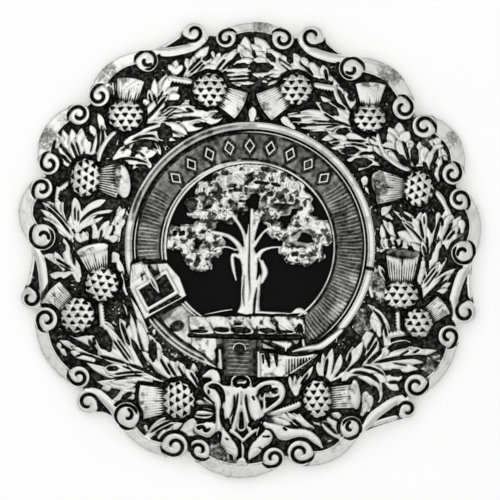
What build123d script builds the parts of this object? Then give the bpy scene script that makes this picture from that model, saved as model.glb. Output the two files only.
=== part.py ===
from build123d import *
import math
import os

os.makedirs("parts", exist_ok=True)

# A round plaid brooch lying on its back, face up. Lengths are in millimetres. +Z is up, the wearer's
# top edge is towards +Y, and the origin is on the surface below the middle of the brooch.

# Plate
BROOCH_WIDTH = 93.2
SEAT_HEIGHT = 8.0
SEAT_THICKNESS = 1.4
SEAT_MARGIN = 0.2
EDGE_THICKNESS = 1.3
REST_WIDTH = 4.6
EDGE_LIP = 0.1
SCROLL_INSET = 0.25
BLANK_MARGIN = 4.0

# Heights of the cast relief above the domed face
LEAF_RELIEF = 0.9
STEM_RELIEF = 1.1
CRESCENT_RELIEF = 0.8
VOLUTE_RELIEF = 1.3
TUFT_RELIEF = 1.5
BULB_RELIEF = 2.3
RELIEF_ROOT = 0.4

# Strap ring, buckle, tail, torse and tree
BADGE_RADIUS = 24.9
STRAP_WIDTH = 8.3
STRAP_THICKNESS = 1.5
ROLL_WIDTH = 1.1
ROLL_HEIGHT = 0.9
LINE_GAP = 0.35
LINE_WIDTH = 0.45
LINE_HEIGHT = 0.45
INNER_ROLL_WIDTH = 0.9
BUCKLE_HEIGHT = 1.3
PRONG_HEIGHT = 1.8
TAIL_HEIGHT = 1.2
TORSE_HEIGHT = 1.6
TRUNK_HEIGHT = 1.3
FOLIAGE_BED = 0.9
FOLIAGE_HEIGHT = 1.1

# Enamelled ground
GROUND_THICKNESS = 0.4
SMALL_GAP = 0.05

# Pin on the back
PIN_LENGTH = 36.0
PIN_OFFSET_Y = 6.0
PIN_DIAMETER = 1.5
PIN_CLEARANCE = 0.6
FOOT_LENGTH = 4.0
FOOT_WIDTH = 6.0
FOOT_PAD = 1.0
POST_LENGTH = 2.0
BARREL_DIAMETER = 2.6
BARREL_WIDTH = 4.4
CATCH_WIDTH = 2.6
CATCH_WALL = 0.9

# The brooch is drawn on squared paper, 466 squares to its width and 250 squares to the strap ring's, with
# the ring's middle at (250, 247). Columns count to the right and rows count down.
WIDTH_SQUARES = 466
SEAT_SQUARES = 125
SHEET_CENTRE = (250, 247)

STANDING = (Align.CENTER, Align.CENTER, Align.MIN)
HALF_TURN = 180

half_width = BROOCH_WIDTH / 2
rest_radius = half_width - REST_WIDTH
seat_radius = BADGE_RADIUS + SEAT_MARGIN
seat_under = SEAT_HEIGHT - SEAT_THICKNESS
square = (half_width - seat_radius) / (WIDTH_SQUARES / 2 - SEAT_SQUARES)
badge_square = BADGE_RADIUS / SEAT_SQUARES
far_radius = half_width + BLANK_MARGIN
strap_inner_radius = BADGE_RADIUS - STRAP_WIDTH
strap_base = SEAT_HEIGHT + SMALL_GAP
strap_top = strap_base + STRAP_THICKNESS
ground_base = SEAT_HEIGHT + SMALL_GAP
ground_top = ground_base + GROUND_THICKNESS
tree_base = ground_top + SMALL_GAP

# Rim scrolls, clockwise from the top. Each row is a coil: its place, its radius, the way it winds
# (+1 is anticlockwise), what runs on to the next coil, and how far that bulges, all in squares.
RIM = (
    (226, 38, 10, 1, "crescent", 17),
    (283, 39, 11, -1, "notch", 0),
    (312, 37, 12, -1, "scroll", 6),
    (351, 69, 12, 1, "crescent", 26),
    (404, 108, 12, -1, "notch", 0),
    (424, 126, 12, 1, "crescent", 25),
    (453, 174, 11, -1, "notch", 0),
    (460, 199, 11, 1, "crescent", 21),
    (463, 253, 12, -1, "scroll", 8),
    (465, 312, 12, 1, "notch", 0),
    (449, 336, 11, 1, "crescent", 19),
    (416, 386, 12, -1, "notch", 0),
    (407, 409, 10, -1, "scroll", 7),
    (351, 427, 11, 1, "crescent", 23),
    (300, 453, 13, -1, "notch", 0),
    (274, 458, 11, 1, "crescent", 25),
    (199, 450, 11, -1, "notch", 0),
    (175, 446, 13, 1, "crescent", 20),
    (127, 415, 13, -1, "scroll", 6),
    (88, 402, 12, 1, "notch", 0),
    (79, 377, 11, 1, "crescent", 21),
    (46, 319, 12, -1, "notch", 0),
    (31, 298, 11, -1, "scroll", 6),
    (43, 237, 13, 1, "crescent", 25),
    (42, 188, 11, -1, "notch", 0),
    (49, 164, 11, 1, "crescent", 23),
    (79, 114, 11, -1, "notch", 0),
    (99, 96, 11, 1, "crescent", 21),
    (147, 61, 11, -1, "scroll", 6),
    (194, 33, 11, 1, "notch", 0),
)
CRESCENT_INNER = 9
SCROLL_WIDTH = 10

# A crescent's ends wrap its coils as far as these shares of a coil's radius, outward and along, and its inner
# edge starts at this share of the radius.
WRAP_OUTWARD = 0.6
WRAP_ALONG = 0.8
CRESCENT_START = 1.1

# Each coil's band, and how much it tightens at each half turn, as shares of its radius.
COIL_BAND = 0.30
COIL_PITCH = 0.24
COIL_HALF_TURNS = 3

# Thistles. Each row is a bulb's place, half width and half length, the way its tuft points in degrees,
# the tuft's reach, and its width at the neck and at the end, in squares. A tuft is rooted at a share of its
# bulb's half width, and its end bulges by a share of its own width.
TUFT_ROOT = 0.6
TUFT_CROWN = 0.08
THISTLES = (
    (210, 91, 17, 17, -27, 34, 20, 33),
    (296, 90, 16, 16, -153, 34, 20, 34),
    (127, 115, 15, 19, 82, 37, 18, 30),
    (368, 118, 14, 16, 83, 34, 20, 33),
    (88, 178, 15, 19, -5, 43, 30, 38),
    (418, 189, 15, 19, 178, 45, 28, 34),
    (102, 284, 17, 17, 95, 43, 26, 34),
    (399, 294, 15, 19, 88, 40, 23, 38),
    (78, 315, 18, 18, 136, 33, 22, 34),
    (418, 323, 14, 16, 34, 29, 18, 25),
    (179, 398, 16, 19, 184, 36, 26, 40),
    (317, 397, 14, 19, 5, 45, 26, 30),
)

# Stems. Each row is a run from one place to the next, and its width, in squares.
STEMS = (
    (172, 79, 197, 83, 6),
    (308, 86, 331, 88, 6),
    (120, 128, 102, 160, 6),
    (376, 132, 384, 157, 5),
    (384, 157, 410, 172, 5),
    (76, 174, 59, 186, 5),
    (59, 186, 57, 202, 5),
    (428, 186, 447, 211, 5),
    (101, 300, 101, 322, 7),
    (396, 308, 396, 326, 6),
    (94, 322, 104, 336, 5),
    (408, 335, 388, 338, 6),
    (192, 402, 215, 406, 6),
    (303, 402, 264, 413, 6),
)

# Leaf blades. Each row runs from a blade's root to its tip, with its width, in squares. A blade is widest at
# its shoulder, a share of its length from the root.
BLADE_SHOULDER = 0.6
BLADES = (
    (184, 74, 208, 49, 12), (174, 72, 191, 58, 10), (190, 74, 212, 60, 8), (204, 71, 226, 58, 9),
    (214, 71, 236, 50, 9), (243, 62, 245, 38, 10), (252, 62, 232, 68, 7), (252, 76, 229, 76, 8),
    (252, 84, 231, 83, 7), (152, 112, 167, 76, 10), (154, 104, 154, 81, 8), (156, 108, 179, 88, 9),
    (158, 110, 179, 97, 10), (148, 122, 190, 102, 12), (146, 124, 195, 111, 11), (172, 120, 223, 113, 9),
    (172, 124, 229, 117, 9), (152, 108, 145, 102, 7), (176, 124, 190, 135, 9), (136, 134, 182, 141, 9),
    (272, 64, 254, 39, 12), (276, 62, 254, 59, 8), (282, 74, 251, 74, 9), (289, 74, 268, 86, 9),
    (286, 72, 270, 52, 12), (294, 70, 284, 57, 9), (302, 70, 294, 55, 9), (310, 74, 304, 58, 9),
    (322, 80, 311, 64, 10), (332, 81, 322, 67, 9), (346, 116, 334, 82, 10), (350, 124, 321, 98, 11),
    (344, 122, 315, 104, 10), (351, 110, 344, 93, 8), (340, 121, 287, 116, 11), (344, 126, 291, 124, 8),
    (350, 130, 318, 140, 9), (366, 141, 333, 134, 10), (368, 146, 327, 143, 8), (370, 151, 329, 149, 7),
    (374, 158, 338, 154, 8), (376, 158, 345, 163, 10), (380, 164, 357, 172, 10),
    (76, 160, 64, 131, 10), (79, 158, 72, 130, 10), (82, 156, 82, 131, 10), (74, 163, 59, 148, 9),
    (72, 166, 60, 156, 8), (88, 154, 86, 136, 10), (94, 154, 92, 127, 9), (98, 154, 99, 130, 8),
    (126, 152, 158, 146, 10), (118, 156, 152, 162, 10), (118, 148, 164, 152, 10),
    (73, 232, 42, 202, 11), (71, 236, 41, 211, 9), (70, 240, 45, 220, 8), (72, 228, 57, 201, 11),
    (74, 226, 74, 197, 9), (78, 226, 78, 202, 8), (78, 224, 108, 202, 10), (79, 229, 116, 210, 9),
    (80, 234, 108, 217, 9), (90, 241, 94, 224, 9), (99, 241, 112, 221, 10), (121, 238, 121, 209, 9),
    (404, 168, 391, 129, 14), (405, 166, 402, 124, 12), (404, 160, 386, 147, 9), (409, 164, 411, 142, 9),
    (424, 170, 421, 144, 12), (428, 171, 441, 147, 9), (433, 182, 438, 158, 8),
    (425, 250, 396, 230, 12), (424, 246, 401, 222, 7), (425, 242, 422, 212, 10), (424, 236, 412, 217, 8),
    (433, 246, 433, 209, 11), (439, 240, 445, 212, 10), (438, 250, 458, 216, 11), (440, 252, 457, 233, 9),
    (416, 226, 391, 210, 9), (396, 246, 382, 222, 9),
    (74, 274, 45, 255, 11), (76, 280, 52, 270, 8), (73, 262, 64, 240, 9), (79, 262, 74, 240, 8),
    (112, 263, 118, 253, 10), (125, 292, 123, 264, 8),
    (138, 362, 104, 322, 14), (146, 366, 124, 302, 12), (152, 364, 134, 318, 10), (158, 366, 142, 336, 10),
    (124, 358, 85, 336, 11), (128, 362, 58, 332, 9), (124, 364, 60, 346, 8), (128, 366, 74, 360, 8),
    (142, 370, 103, 367, 10), (152, 376, 97, 379, 10), (166, 378, 150, 350, 9), (174, 376, 160, 346, 9),
    (181, 374, 172, 360, 8), (189, 376, 182, 362, 7), (205, 392, 194, 364, 8), (116, 398, 134, 388, 10),
    (150, 434, 161, 417, 8), (152, 434, 182, 422, 10), (184, 429, 214, 424, 14), (202, 436, 218, 430, 10),
    (422, 298, 437, 268, 9), (423, 299, 453, 269, 10), (424, 300, 448, 286, 9), (424, 284, 440, 256, 10),
    (386, 284, 377, 268, 8), (384, 342, 367, 305, 10), (376, 350, 374, 320, 11), (368, 360, 357, 330, 11),
    (352, 380, 383, 348, 13), (384, 350, 412, 344, 10), (366, 364, 438, 352, 10), (366, 368, 420, 362, 9),
    (348, 372, 378, 380, 10), (374, 370, 402, 377, 10), (384, 374, 397, 389, 9), (378, 376, 380, 402, 9),
    (362, 398, 376, 402, 11), (328, 378, 336, 350, 8), (334, 378, 350, 348, 9), (320, 372, 322, 352, 8),
    (300, 392, 291, 374, 9), (303, 388, 312, 366, 8), (344, 440, 320, 420, 10), (334, 440, 312, 422, 9),
    (345, 420, 332, 414, 9), (300, 428, 284, 414, 9), (322, 428, 300, 414, 9),
)

# Foot ornament: a bell between two coils under a small one, with drooping leaves.
BELL = ((222, 428), (226, 392), (236, 374), (250, 374), (260, 392), (264, 428))
FOOT_COILS = ((209, 391, 9, 1), (273, 391, 11, -1), (243, 380, 7, 1))
FOOT_LEAVES = ((216, 430, 232, 458, 14), (266, 426, 245, 457, 14), (264, 424, 322, 444, 12))

# Crest, on the same paper. The trunk's outline, then boughs as runs with a width, then foliage as rounds,
# each with a cap over a share of its radius.
CAP_SHARE = 0.92
TRUNK = ((234, 316), (241, 300), (240, 262), (230, 243), (240, 236), (250, 246), (262, 238), (284, 240),
         (264, 258), (262, 300), (268, 316))
BOUGHS = ((246, 246, 244, 196, 9), (254, 250, 262, 200, 8), (240, 256, 233, 282, 6),
          (240, 244, 206, 226, 9), (262, 248, 290, 226, 8), (250, 226, 222, 204, 8))
FOLIAGE = (
    (173, 238, 12), (187, 235, 11), (201, 231, 10), (197, 208, 11), (206, 191, 10), (213, 212, 12),
    (226, 184, 13), (226, 208, 10), (234, 172, 11), (247, 168, 12), (261, 172, 12), (275, 179, 12),
    (287, 188, 11), (241, 188, 12), (270, 194, 10), (297, 198, 11), (268, 214, 11), (284, 208, 8),
    (303, 222, 11), (324, 233, 12), (276, 230, 9), (200, 260, 11), (190, 254, 8), (216, 244, 9),
    (288, 250, 9), (301, 253, 11), (314, 252, 9), (292, 234, 8), (208, 222, 9), (306, 208, 7),
)

# Buckle and tail of the strap, and the twisted torse under the tree. A turn of the torse is a share of the
# pitch wide and stops short of the bar's edges by a share of it.
BUCKLE_PLACE = (156.5, 290.5)
BUCKLE_SIZE = (48, 39)
BUCKLE_WINDOW = (28, 20)
BUCKLE_ANGLE = 28.7
PRONG = (143, 263, 158, 292, 6)
STUD = (138, 271, 8)
TORSE_ROW = 324
TORSE_COLUMNS = (188, 306)
TORSE_DEPTH = 20
TORSE_TURNS = 6
TORSE_SLANT = 5
TURN_WIDTH = 0.85
TURN_END = 0.4
TAIL = ((224, 337), (257, 337), (257, 373), (224, 373))
TAIL_EYELET = (240.6, 348.7, 4.5)
FOLD = ((258, 339), (335, 339), (340, 345), (322, 352), (258, 352))
LAPPET = ((259, 355), (283, 355), (283, 373), (259, 373))


def place(column, row):
    """Millimetres from the ring's axis of a place on the sheet; the band keeps pace with rim and ring."""
    x = column - SHEET_CENTRE[0]
    y = SHEET_CENTRE[1] - row
    reach = math.hypot(x, y)
    radius = seat_radius + (reach - SEAT_SQUARES) * square
    return Vector(x / reach * radius, y / reach * radius)


def crest(column, row):
    """Millimetres from the ring's axis of a place on the badge."""
    return Vector((column - SHEET_CENTRE[0]) * badge_square, (SHEET_CENTRE[1] - row) * badge_square)


def sphere_rise(inner, outer):
    """Centre height and radius of the sphere through two (radius, height) places of its meridian."""
    (r0, z0), (r1, z1) = inner, outer
    centre = (z0**2 - z1**2 + r0**2 - r1**2) / (2 * (z0 - z1))
    return centre, math.hypot(r0, z0 - centre)


PLATE_SEAM = 101
SKIN_SEAM = 17
FACE = sphere_rise((seat_radius, SEAT_HEIGHT), (half_width, EDGE_THICKNESS))
BACK = sphere_rise((seat_radius, seat_under), (rest_radius, 0))


def rise(sphere, radius):
    """Height of a dome's sphere at a radius."""
    return sphere[0] + math.sqrt(sphere[1] ** 2 - radius**2)


def face_height(radius):
    """Height of the plate's face at a radius."""
    return rise(FACE, max(radius, seat_radius))


def dome_arc(sphere, start, end, lift=0.0):
    """Arc of a dome's meridian between two radii."""
    middle = (start + end) / 2
    points = [(r, rise(sphere, r) + lift) for r in (start, middle, end)]
    return ThreePointArc(*[(r, 0, z) for r, z in points])


def spun(edges, start_angle):
    """Solid of revolution of a closed outline in the XZ plane, whose seam lies at an angle."""
    return Rot(0, 0, start_angle) * revolve(make_face(edges), Axis.Z)


def blank():
    """The plate before its edge is cut: a dome with a flat seat, hollow behind, ground flat at the rim."""
    face = dome_arc(FACE, seat_radius, far_radius)
    back = dome_arc(BACK, seat_radius, rest_radius)
    edges = [
        Line((0, 0, SEAT_HEIGHT), (seat_radius, 0, SEAT_HEIGHT)),
        face,
        Line(face @ 1, (far_radius, 0, 0)),
        Line((far_radius, 0, 0), (rest_radius, 0, 0)),
        back,
        Line((seat_radius, 0, seat_under), (0, 0, seat_under)),
        Line((0, 0, seat_under), (0, 0, SEAT_HEIGHT)),
    ]
    return spun(edges, PLATE_SEAM)


def skin(height):
    """Layer of even height over the plate's face, rooted a little way into it."""
    start = seat_radius + SEAT_MARGIN / 2
    top = dome_arc(FACE, start, far_radius, height)
    root = dome_arc(FACE, start, far_radius, -RELIEF_ROOT)
    edges = [top, Line(top @ 1, root @ 1), root, Line(root @ 0, top @ 0)]
    return spun(edges, SKIN_SEAM)


def circle_at(centre, radius):
    """Disc on the sheet."""
    return Pos(centre.X, centre.Y) * Circle(radius)


def ribbon(start, end, width):
    """Round-ended strip from one place to another."""
    middle = (start + end) / 2
    run = end - start
    slot = SlotCenterToCenter(run.length, width)
    return Pos(middle.X, middle.Y) * Rot(0, 0, math.degrees(math.atan2(run.Y, run.X))) * slot


def blade(start, end, width):
    """Leaf blade: a long kite, widest nearer its tip."""
    run = end - start
    side = Vector(-run.Y, run.X).normalized() * (width / 2)
    shoulder = start + run * BLADE_SHOULDER
    return make_face(Polyline(start, shoulder + side, end, shoulder - side, close=True))


def across(start, end):
    """Unit vectors along the line from one coil to the next, and outward from the brooch."""
    along = (end - start).normalized()
    return along, Vector(-along.Y, along.X)


def crescent_outer(start, end, start_radius, end_radius, bulge):
    """Outer arc of a crescent, wrapped over the coils at its ends."""
    along, outward = across(start, end)
    first = start + (outward * WRAP_OUTWARD - along * WRAP_ALONG) * start_radius
    last = end + (outward * WRAP_OUTWARD + along * WRAP_ALONG) * end_radius
    crown = (start + end) / 2 + outward * bulge
    return first, crown, last


def crescent(start, end, start_radius, end_radius, bulge):
    """Crescent between two coils, cleared round each coil and set in a little from the plate's edge."""
    along, outward = across(start, end)
    start_reach = start_radius - EDGE_LIP
    end_reach = end_radius - EDGE_LIP
    first, crown, last = crescent_outer(start, end, start_reach, end_reach, bulge - EDGE_LIP)
    low = outward * CRESCENT_INNER * square
    near = start + along * start_radius * CRESCENT_START + low / 2
    far = end - along * end_radius * CRESCENT_START + low / 2
    inner = (start + end) / 2 + low
    edges = [
        ThreePointArc(first, crown, last),
        Line(last, far),
        ThreePointArc(far, inner, near),
        Line(near, first),
    ]
    return make_face(edges) - circle_at(start, start_radius) - circle_at(end, end_radius)


def scroll_run(start, end, start_radius, end_radius, start_free):
    """Ends of an S-scroll's straight run, from under its free coil to over the coil that it joins."""
    along, outward = across(start, end)
    half = SCROLL_WIDTH * square / 2 + SCROLL_INSET
    side = -1 if start_free else 1
    first = start + outward * side * (start_radius - half)
    last = end - outward * side * (end_radius - half)
    return first, last


def coil(centre, radius, turn, start_angle):
    """Spiral band of one and a half turns, made of half circles that tighten towards an eye."""
    width = COIL_BAND * radius
    step = COIL_PITCH * radius
    outer = []
    inner = []
    middle = Vector(0, 0)
    reach = radius
    heading = 0
    for _ in range(COIL_HALF_TURNS):
        sign = 1 if heading == 0 else -1
        outer.append(CenterArc(middle, reach, heading, HALF_TURN))
        inner.append(CenterArc(middle, reach - width, heading, HALF_TURN))
        middle = middle - Vector(sign * step, 0)
        reach -= step
        heading = HALF_TURN - heading
    mouth = Line(inner[0] @ 0, outer[0] @ 0)
    tip = Line(outer[-1] @ 1, inner[-1] @ 1)
    face = make_face(outer + [tip] + inner + [mouth])
    if turn < 0:
        face = mirror(face, Plane.XZ)
    return Pos(centre.X, centre.Y) * Rot(0, 0, start_angle) * face


def tuft(centre, bulb_wide, angle, reach, neck, end):
    """Flared brush of a thistle, drawn along +X and turned to its angle."""
    start = bulb_wide * TUFT_ROOT
    crown = reach + end * TUFT_CROWN
    edges = [
        Line((start, -neck / 2), (reach, -end / 2)),
        ThreePointArc((reach, -end / 2), (crown, 0), (reach, end / 2)),
        Line((reach, end / 2), (start, neck / 2)),
        Line((start, neck / 2), (start, -neck / 2)),
    ]
    return Pos(centre.X, centre.Y) * Rot(0, 0, angle) * make_face(edges)


def bulb(centre, wide, long, angle):
    """Thistle bulb: one or two shallow caps of a sphere standing on the plate's face."""
    base = face_height(centre.length)
    radius = (wide**2 + BULB_RELIEF**2) / (2 * BULB_RELIEF)
    spread = long - wide
    axis = Vector(math.cos(math.radians(angle + 90)), math.sin(math.radians(angle + 90)))
    places = [centre + axis * spread, centre - axis * spread] if spread > 0 else [centre]
    return [Pos(p.X, p.Y, base + BULB_RELIEF - radius) * Sphere(radius) for p in places]


def raised(faces, height):
    """Flat shapes raised over the plate's face as relief of one height."""
    drawn = Sketch() + faces
    return extrude(drawn, SEAT_HEIGHT * 2) & skin(height)


def rim_rows():
    """Each coil of the rim with the one after it, in millimetres."""
    rows = []
    for this, that in zip(RIM, RIM[1:] + RIM[:1]):
        start = place(this[0], this[1])
        end = place(that[0], that[1])
        rows.append((start, end, this[2] * square, that[2] * square, this[3], this[4], this[5] * square))
    return rows


def free_at_start(index):
    """True where an S-scroll's free coil, the one before a notch, is the row's own."""
    return RIM[index - 1][4] == "notch"


def outline():
    """The brooch's scalloped outline."""
    rows = rim_rows()
    corners = []
    faces = []
    for start, end, start_radius, end_radius, _, link, bulge in rows:
        along, outward = across(start, end)
        corners.append(start)
        faces.append(circle_at(start, start_radius))
        if link == "scroll":
            corners.append((start + end) / 2 + outward * bulge)
        if link == "crescent":
            first, crown, last = crescent_outer(start, end, start_radius, end_radius, bulge)
            arc = ThreePointArc(first, crown, last)
            faces.append(make_face([arc, Line(last, end), Line(end, start), Line(start, first)]))
    faces.append(make_face(Polyline(*corners, close=True)))
    return Sketch() + faces


def rim_faces():
    """Crescents and S-scrolls, then coils, of the rim."""
    bands = []
    coils = []
    for index, row in enumerate(rim_rows()):
        start, end, start_radius, end_radius, turn, link, bulge = row
        outward_angle = math.degrees(math.atan2(start.Y, start.X))
        coils.append(coil(start, start_radius - EDGE_LIP, turn, outward_angle))
        if link == "crescent":
            bands.append(crescent(start, end, start_radius, end_radius, bulge))
        if link == "scroll":
            first, last = scroll_run(start, end, start_radius, end_radius, free_at_start(index))
            bands.append(ribbon(first, last, SCROLL_WIDTH * square))
    return bands, coils


def wreath_plate():
    """Plate with its scrolls, thistles, leaves and foot ornament, one casting."""
    bands, coils = rim_faces()
    leaves = [blade(place(a, b), place(c, d), w * square) for a, b, c, d, w in BLADES + FOOT_LEAVES]
    stems = [ribbon(place(a, b), place(c, d), w * square) for a, b, c, d, w in STEMS]
    stems.append(make_face(Polyline(*[place(*corner) for corner in BELL], close=True)))
    for column, row, radius, turn in FOOT_COILS:
        coils.append(coil(place(column, row), radius * square, turn, 90))
    tufts = []
    bulbs = []
    for column, row, wide, long, angle, reach, neck, end in THISTLES:
        centre = place(column, row)
        tufts.append(tuft(centre, wide * square, angle, reach * square, neck * square, end * square))
        bulbs += bulb(centre, wide * square, long * square, angle)
    plate = extrude(outline(), SEAT_HEIGHT * 2) & blank()
    relief = [
        raised(leaves, LEAF_RELIEF),
        raised(bands, CRESCENT_RELIEF),
        raised(stems, STEM_RELIEF),
        raised(coils, VOLUTE_RELIEF),
        raised(tufts, TUFT_RELIEF),
        (Part() + bulbs) & skin(BULB_RELIEF * 2),
    ]
    return plate + relief


def ground_disc():
    """Enamelled disc that lies inside the strap ring."""
    disc = Cylinder(strap_inner_radius - SMALL_GAP, GROUND_THICKNESS, align=STANDING)
    return Pos(0, 0, ground_base) * disc


def strap_ring():
    """Ring of the strap with a roll and a fine line along its outer edge and a roll along its inner edge."""
    line_outer = BADGE_RADIUS - ROLL_WIDTH - LINE_GAP
    line_inner = line_outer - LINE_WIDTH
    inner_roll = strap_inner_radius + INNER_ROLL_WIDTH
    outline_points = [
        (strap_inner_radius, strap_base),
        (BADGE_RADIUS, strap_base),
        (BADGE_RADIUS, strap_top + ROLL_HEIGHT),
        (BADGE_RADIUS - ROLL_WIDTH, strap_top + ROLL_HEIGHT),
        (BADGE_RADIUS - ROLL_WIDTH, strap_top),
        (line_outer, strap_top),
        (line_outer, strap_top + LINE_HEIGHT),
        (line_inner, strap_top + LINE_HEIGHT),
        (line_inner, strap_top),
        (inner_roll, strap_top),
        (inner_roll, strap_top + LINE_HEIGHT),
        (strap_inner_radius, strap_top + LINE_HEIGHT),
    ]
    return spun(Polyline(*[(r, 0, z) for r, z in outline_points], close=True), PLATE_SEAM)


def standing(faces, base, top):
    """Flat shapes as upright solids from one level to another."""
    return Pos(0, 0, base) * extrude(Sketch() + faces, top - base)


def crest_shape(corners):
    """Flat shape on the badge through its corners."""
    return make_face(Polyline(*[crest(*corner) for corner in corners], close=True))


def buckle():
    """Buckle frame with its window, prong and stud."""
    size = [side * badge_square for side in BUCKLE_SIZE]
    window = [side * badge_square for side in BUCKLE_WINDOW]
    spot = crest(*BUCKLE_PLACE)
    frame = Rectangle(*size) - Rectangle(*window)
    frame = Pos(spot.X, spot.Y) * Rot(0, 0, BUCKLE_ANGLE) * frame
    start, end, width = crest(*PRONG[:2]), crest(*PRONG[2:4]), PRONG[4] * badge_square
    stud = circle_at(crest(*STUD[:2]), STUD[2] * badge_square)
    raised_frame = standing([frame], strap_top - RELIEF_ROOT, strap_top + BUCKLE_HEIGHT)
    prong = standing([ribbon(start, end, width), stud], strap_top - RELIEF_ROOT, strap_top + PRONG_HEIGHT)
    return raised_frame + prong


def tail():
    """Hanging end of the strap with its eyelet, and the folds beside it."""
    eyelet = circle_at(crest(*TAIL_EYELET[:2]), TAIL_EYELET[2] * badge_square)
    shapes = [crest_shape(TAIL) - eyelet, crest_shape(FOLD), crest_shape(LAPPET)]
    return standing(shapes, strap_top - RELIEF_ROOT, strap_top + TAIL_HEIGHT)


def torse():
    """Twisted bar under the tree: a core with slanting turns over it."""
    first, last = TORSE_COLUMNS
    top, foot = TORSE_ROW - TORSE_DEPTH / 2, TORSE_ROW + TORSE_DEPTH / 2
    core = crest_shape([(first, top), (last, top), (last, foot), (first, foot)])
    pitch = (last - first) / TORSE_TURNS
    turns = []
    for turn in range(TORSE_TURNS):
        middle = first + (turn + 0.5) * pitch
        start = crest(middle - TORSE_SLANT / 2, top + pitch * TURN_END)
        end = crest(middle + TORSE_SLANT / 2, foot - pitch * TURN_END)
        turns.append(ribbon(start, end, pitch * TURN_WIDTH * badge_square))
    bar = standing([core], tree_base, strap_top + TORSE_HEIGHT / 2)
    return bar + standing(turns, tree_base + RELIEF_ROOT, strap_top + TORSE_HEIGHT)


def tree():
    """Tree: trunk and boughs, with a cap of foliage on each round of leaves."""
    rounds = [circle_at(crest(a, b), r * badge_square) for a, b, r in FOLIAGE]
    boughs = [ribbon(crest(a, b), crest(c, d), w * badge_square) for a, b, c, d, w in BOUGHS]
    wood = standing([crest_shape(TRUNK)] + boughs, tree_base, tree_base + TRUNK_HEIGHT)
    bed = standing(rounds, tree_base, tree_base + FOLIAGE_BED)
    caps = []
    for a, b, r in FOLIAGE:
        base = r * badge_square * CAP_SHARE
        radius = (base**2 + FOLIAGE_HEIGHT**2) / (2 * FOLIAGE_HEIGHT)
        spot = crest(a, b)
        ball = Pos(spot.X, spot.Y, tree_base + FOLIAGE_BED + FOLIAGE_HEIGHT - radius) * Sphere(radius)
        caps.append(ball)
    crown = (Part() + caps) & Pos(0, 0, tree_base) * Cylinder(BADGE_RADIUS, SEAT_HEIGHT, align=STANDING)
    return wood + bed + crown


def crest_badge():
    """Strap ring, buckle, tail, torse and tree, one casting."""
    reach = Pos(0, 0, strap_base) * Cylinder(BADGE_RADIUS, SEAT_HEIGHT, align=STANDING)
    return strap_ring() + ((torse() + tail() + buckle()) & reach) + tree()


def pin_clasp():
    """Pin on the back in one piece: two feet, the barrel, the stem and the catch."""
    top = seat_under - SMALL_GAP
    radius = PIN_DIAMETER / 2
    level = PIN_CLEARANCE + radius
    half = PIN_LENGTH / 2
    piece = Pos(0, 0, level) * Rot(0, 90, 0) * Cylinder(radius, PIN_LENGTH)
    barrel_radius = BARREL_DIAMETER / 2
    for side, post_width in ((-1, BARREL_WIDTH), (1, CATCH_WIDTH)):
        pad = Pos(side * half, 0, top - FOOT_PAD) * Box(FOOT_LENGTH, FOOT_WIDTH, FOOT_PAD, align=STANDING)
        post = Pos(side * half, 0, level) * Box(POST_LENGTH, post_width, top - level, align=STANDING)
        piece += pad + post
    piece += Pos(-half, 0, level) * Rot(90, 0, 0) * Cylinder(min(barrel_radius, level), BARREL_WIDTH)
    piece += Pos(half, 0, level) * Rot(90, 0, 0) * Cylinder(min(radius + CATCH_WALL, level), CATCH_WIDTH)
    return Pos(0, PIN_OFFSET_Y) * piece


nodes = {
    "wreath_plate": wreath_plate(),
    "ground_disc": ground_disc(),
    "crest_badge": crest_badge(),
    "pin_clasp": pin_clasp(),
}
middle_of_plate = nodes["wreath_plate"].bounding_box().center()
for name, shape in nodes.items():
    shape = Pos(-middle_of_plate.X, -middle_of_plate.Y) * shape
    shape.label = name
    export_step(shape, f"parts/{name}.step")
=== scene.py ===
"""Looks of a round plaid brooch in antique silver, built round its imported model."""

import logging
import math
from dataclasses import dataclass, field
from enum import Enum
from typing import NamedTuple

import bpy
import numpy as np
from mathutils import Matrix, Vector


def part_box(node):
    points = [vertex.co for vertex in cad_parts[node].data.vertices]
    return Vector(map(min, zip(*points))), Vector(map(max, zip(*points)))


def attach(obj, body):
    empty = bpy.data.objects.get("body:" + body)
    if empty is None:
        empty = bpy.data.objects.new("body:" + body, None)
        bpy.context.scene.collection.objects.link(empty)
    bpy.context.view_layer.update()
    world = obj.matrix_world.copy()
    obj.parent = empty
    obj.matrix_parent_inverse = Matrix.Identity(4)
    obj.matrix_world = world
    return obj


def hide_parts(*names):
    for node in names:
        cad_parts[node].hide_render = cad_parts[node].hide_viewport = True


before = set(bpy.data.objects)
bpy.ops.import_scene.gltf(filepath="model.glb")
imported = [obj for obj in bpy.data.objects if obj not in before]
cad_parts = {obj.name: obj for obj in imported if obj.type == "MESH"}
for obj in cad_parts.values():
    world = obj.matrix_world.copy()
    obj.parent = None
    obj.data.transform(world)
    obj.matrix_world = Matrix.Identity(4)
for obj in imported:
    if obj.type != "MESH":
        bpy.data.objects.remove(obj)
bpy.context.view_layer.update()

log = logging.getLogger("brooch")

MM = 0.001
FULL_TURN = 2 * math.pi
BODY = "root"


# Squared paper and small sums


def spot(column: float, row: float) -> complex:
    """Place on the squared paper, from the ring's middle, with rows counted down."""
    return complex(column - 250.0, 247.0 - row)


def smooth(value: np.ndarray, low: float, high: float) -> np.ndarray:
    """Soft step from 0 at low to 1 at high."""
    t = np.clip((value - low) / (high - low), 0.0, 1.0)
    return t * t * (3.0 - 2.0 * t)


def hump(distance: np.ndarray, half: float) -> np.ndarray:
    """Round ridge of height 1 across a distance, which ends at half its width."""
    return np.sqrt(np.clip(1.0 - (distance / half) ** 2, 0.0, 1.0))


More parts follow.
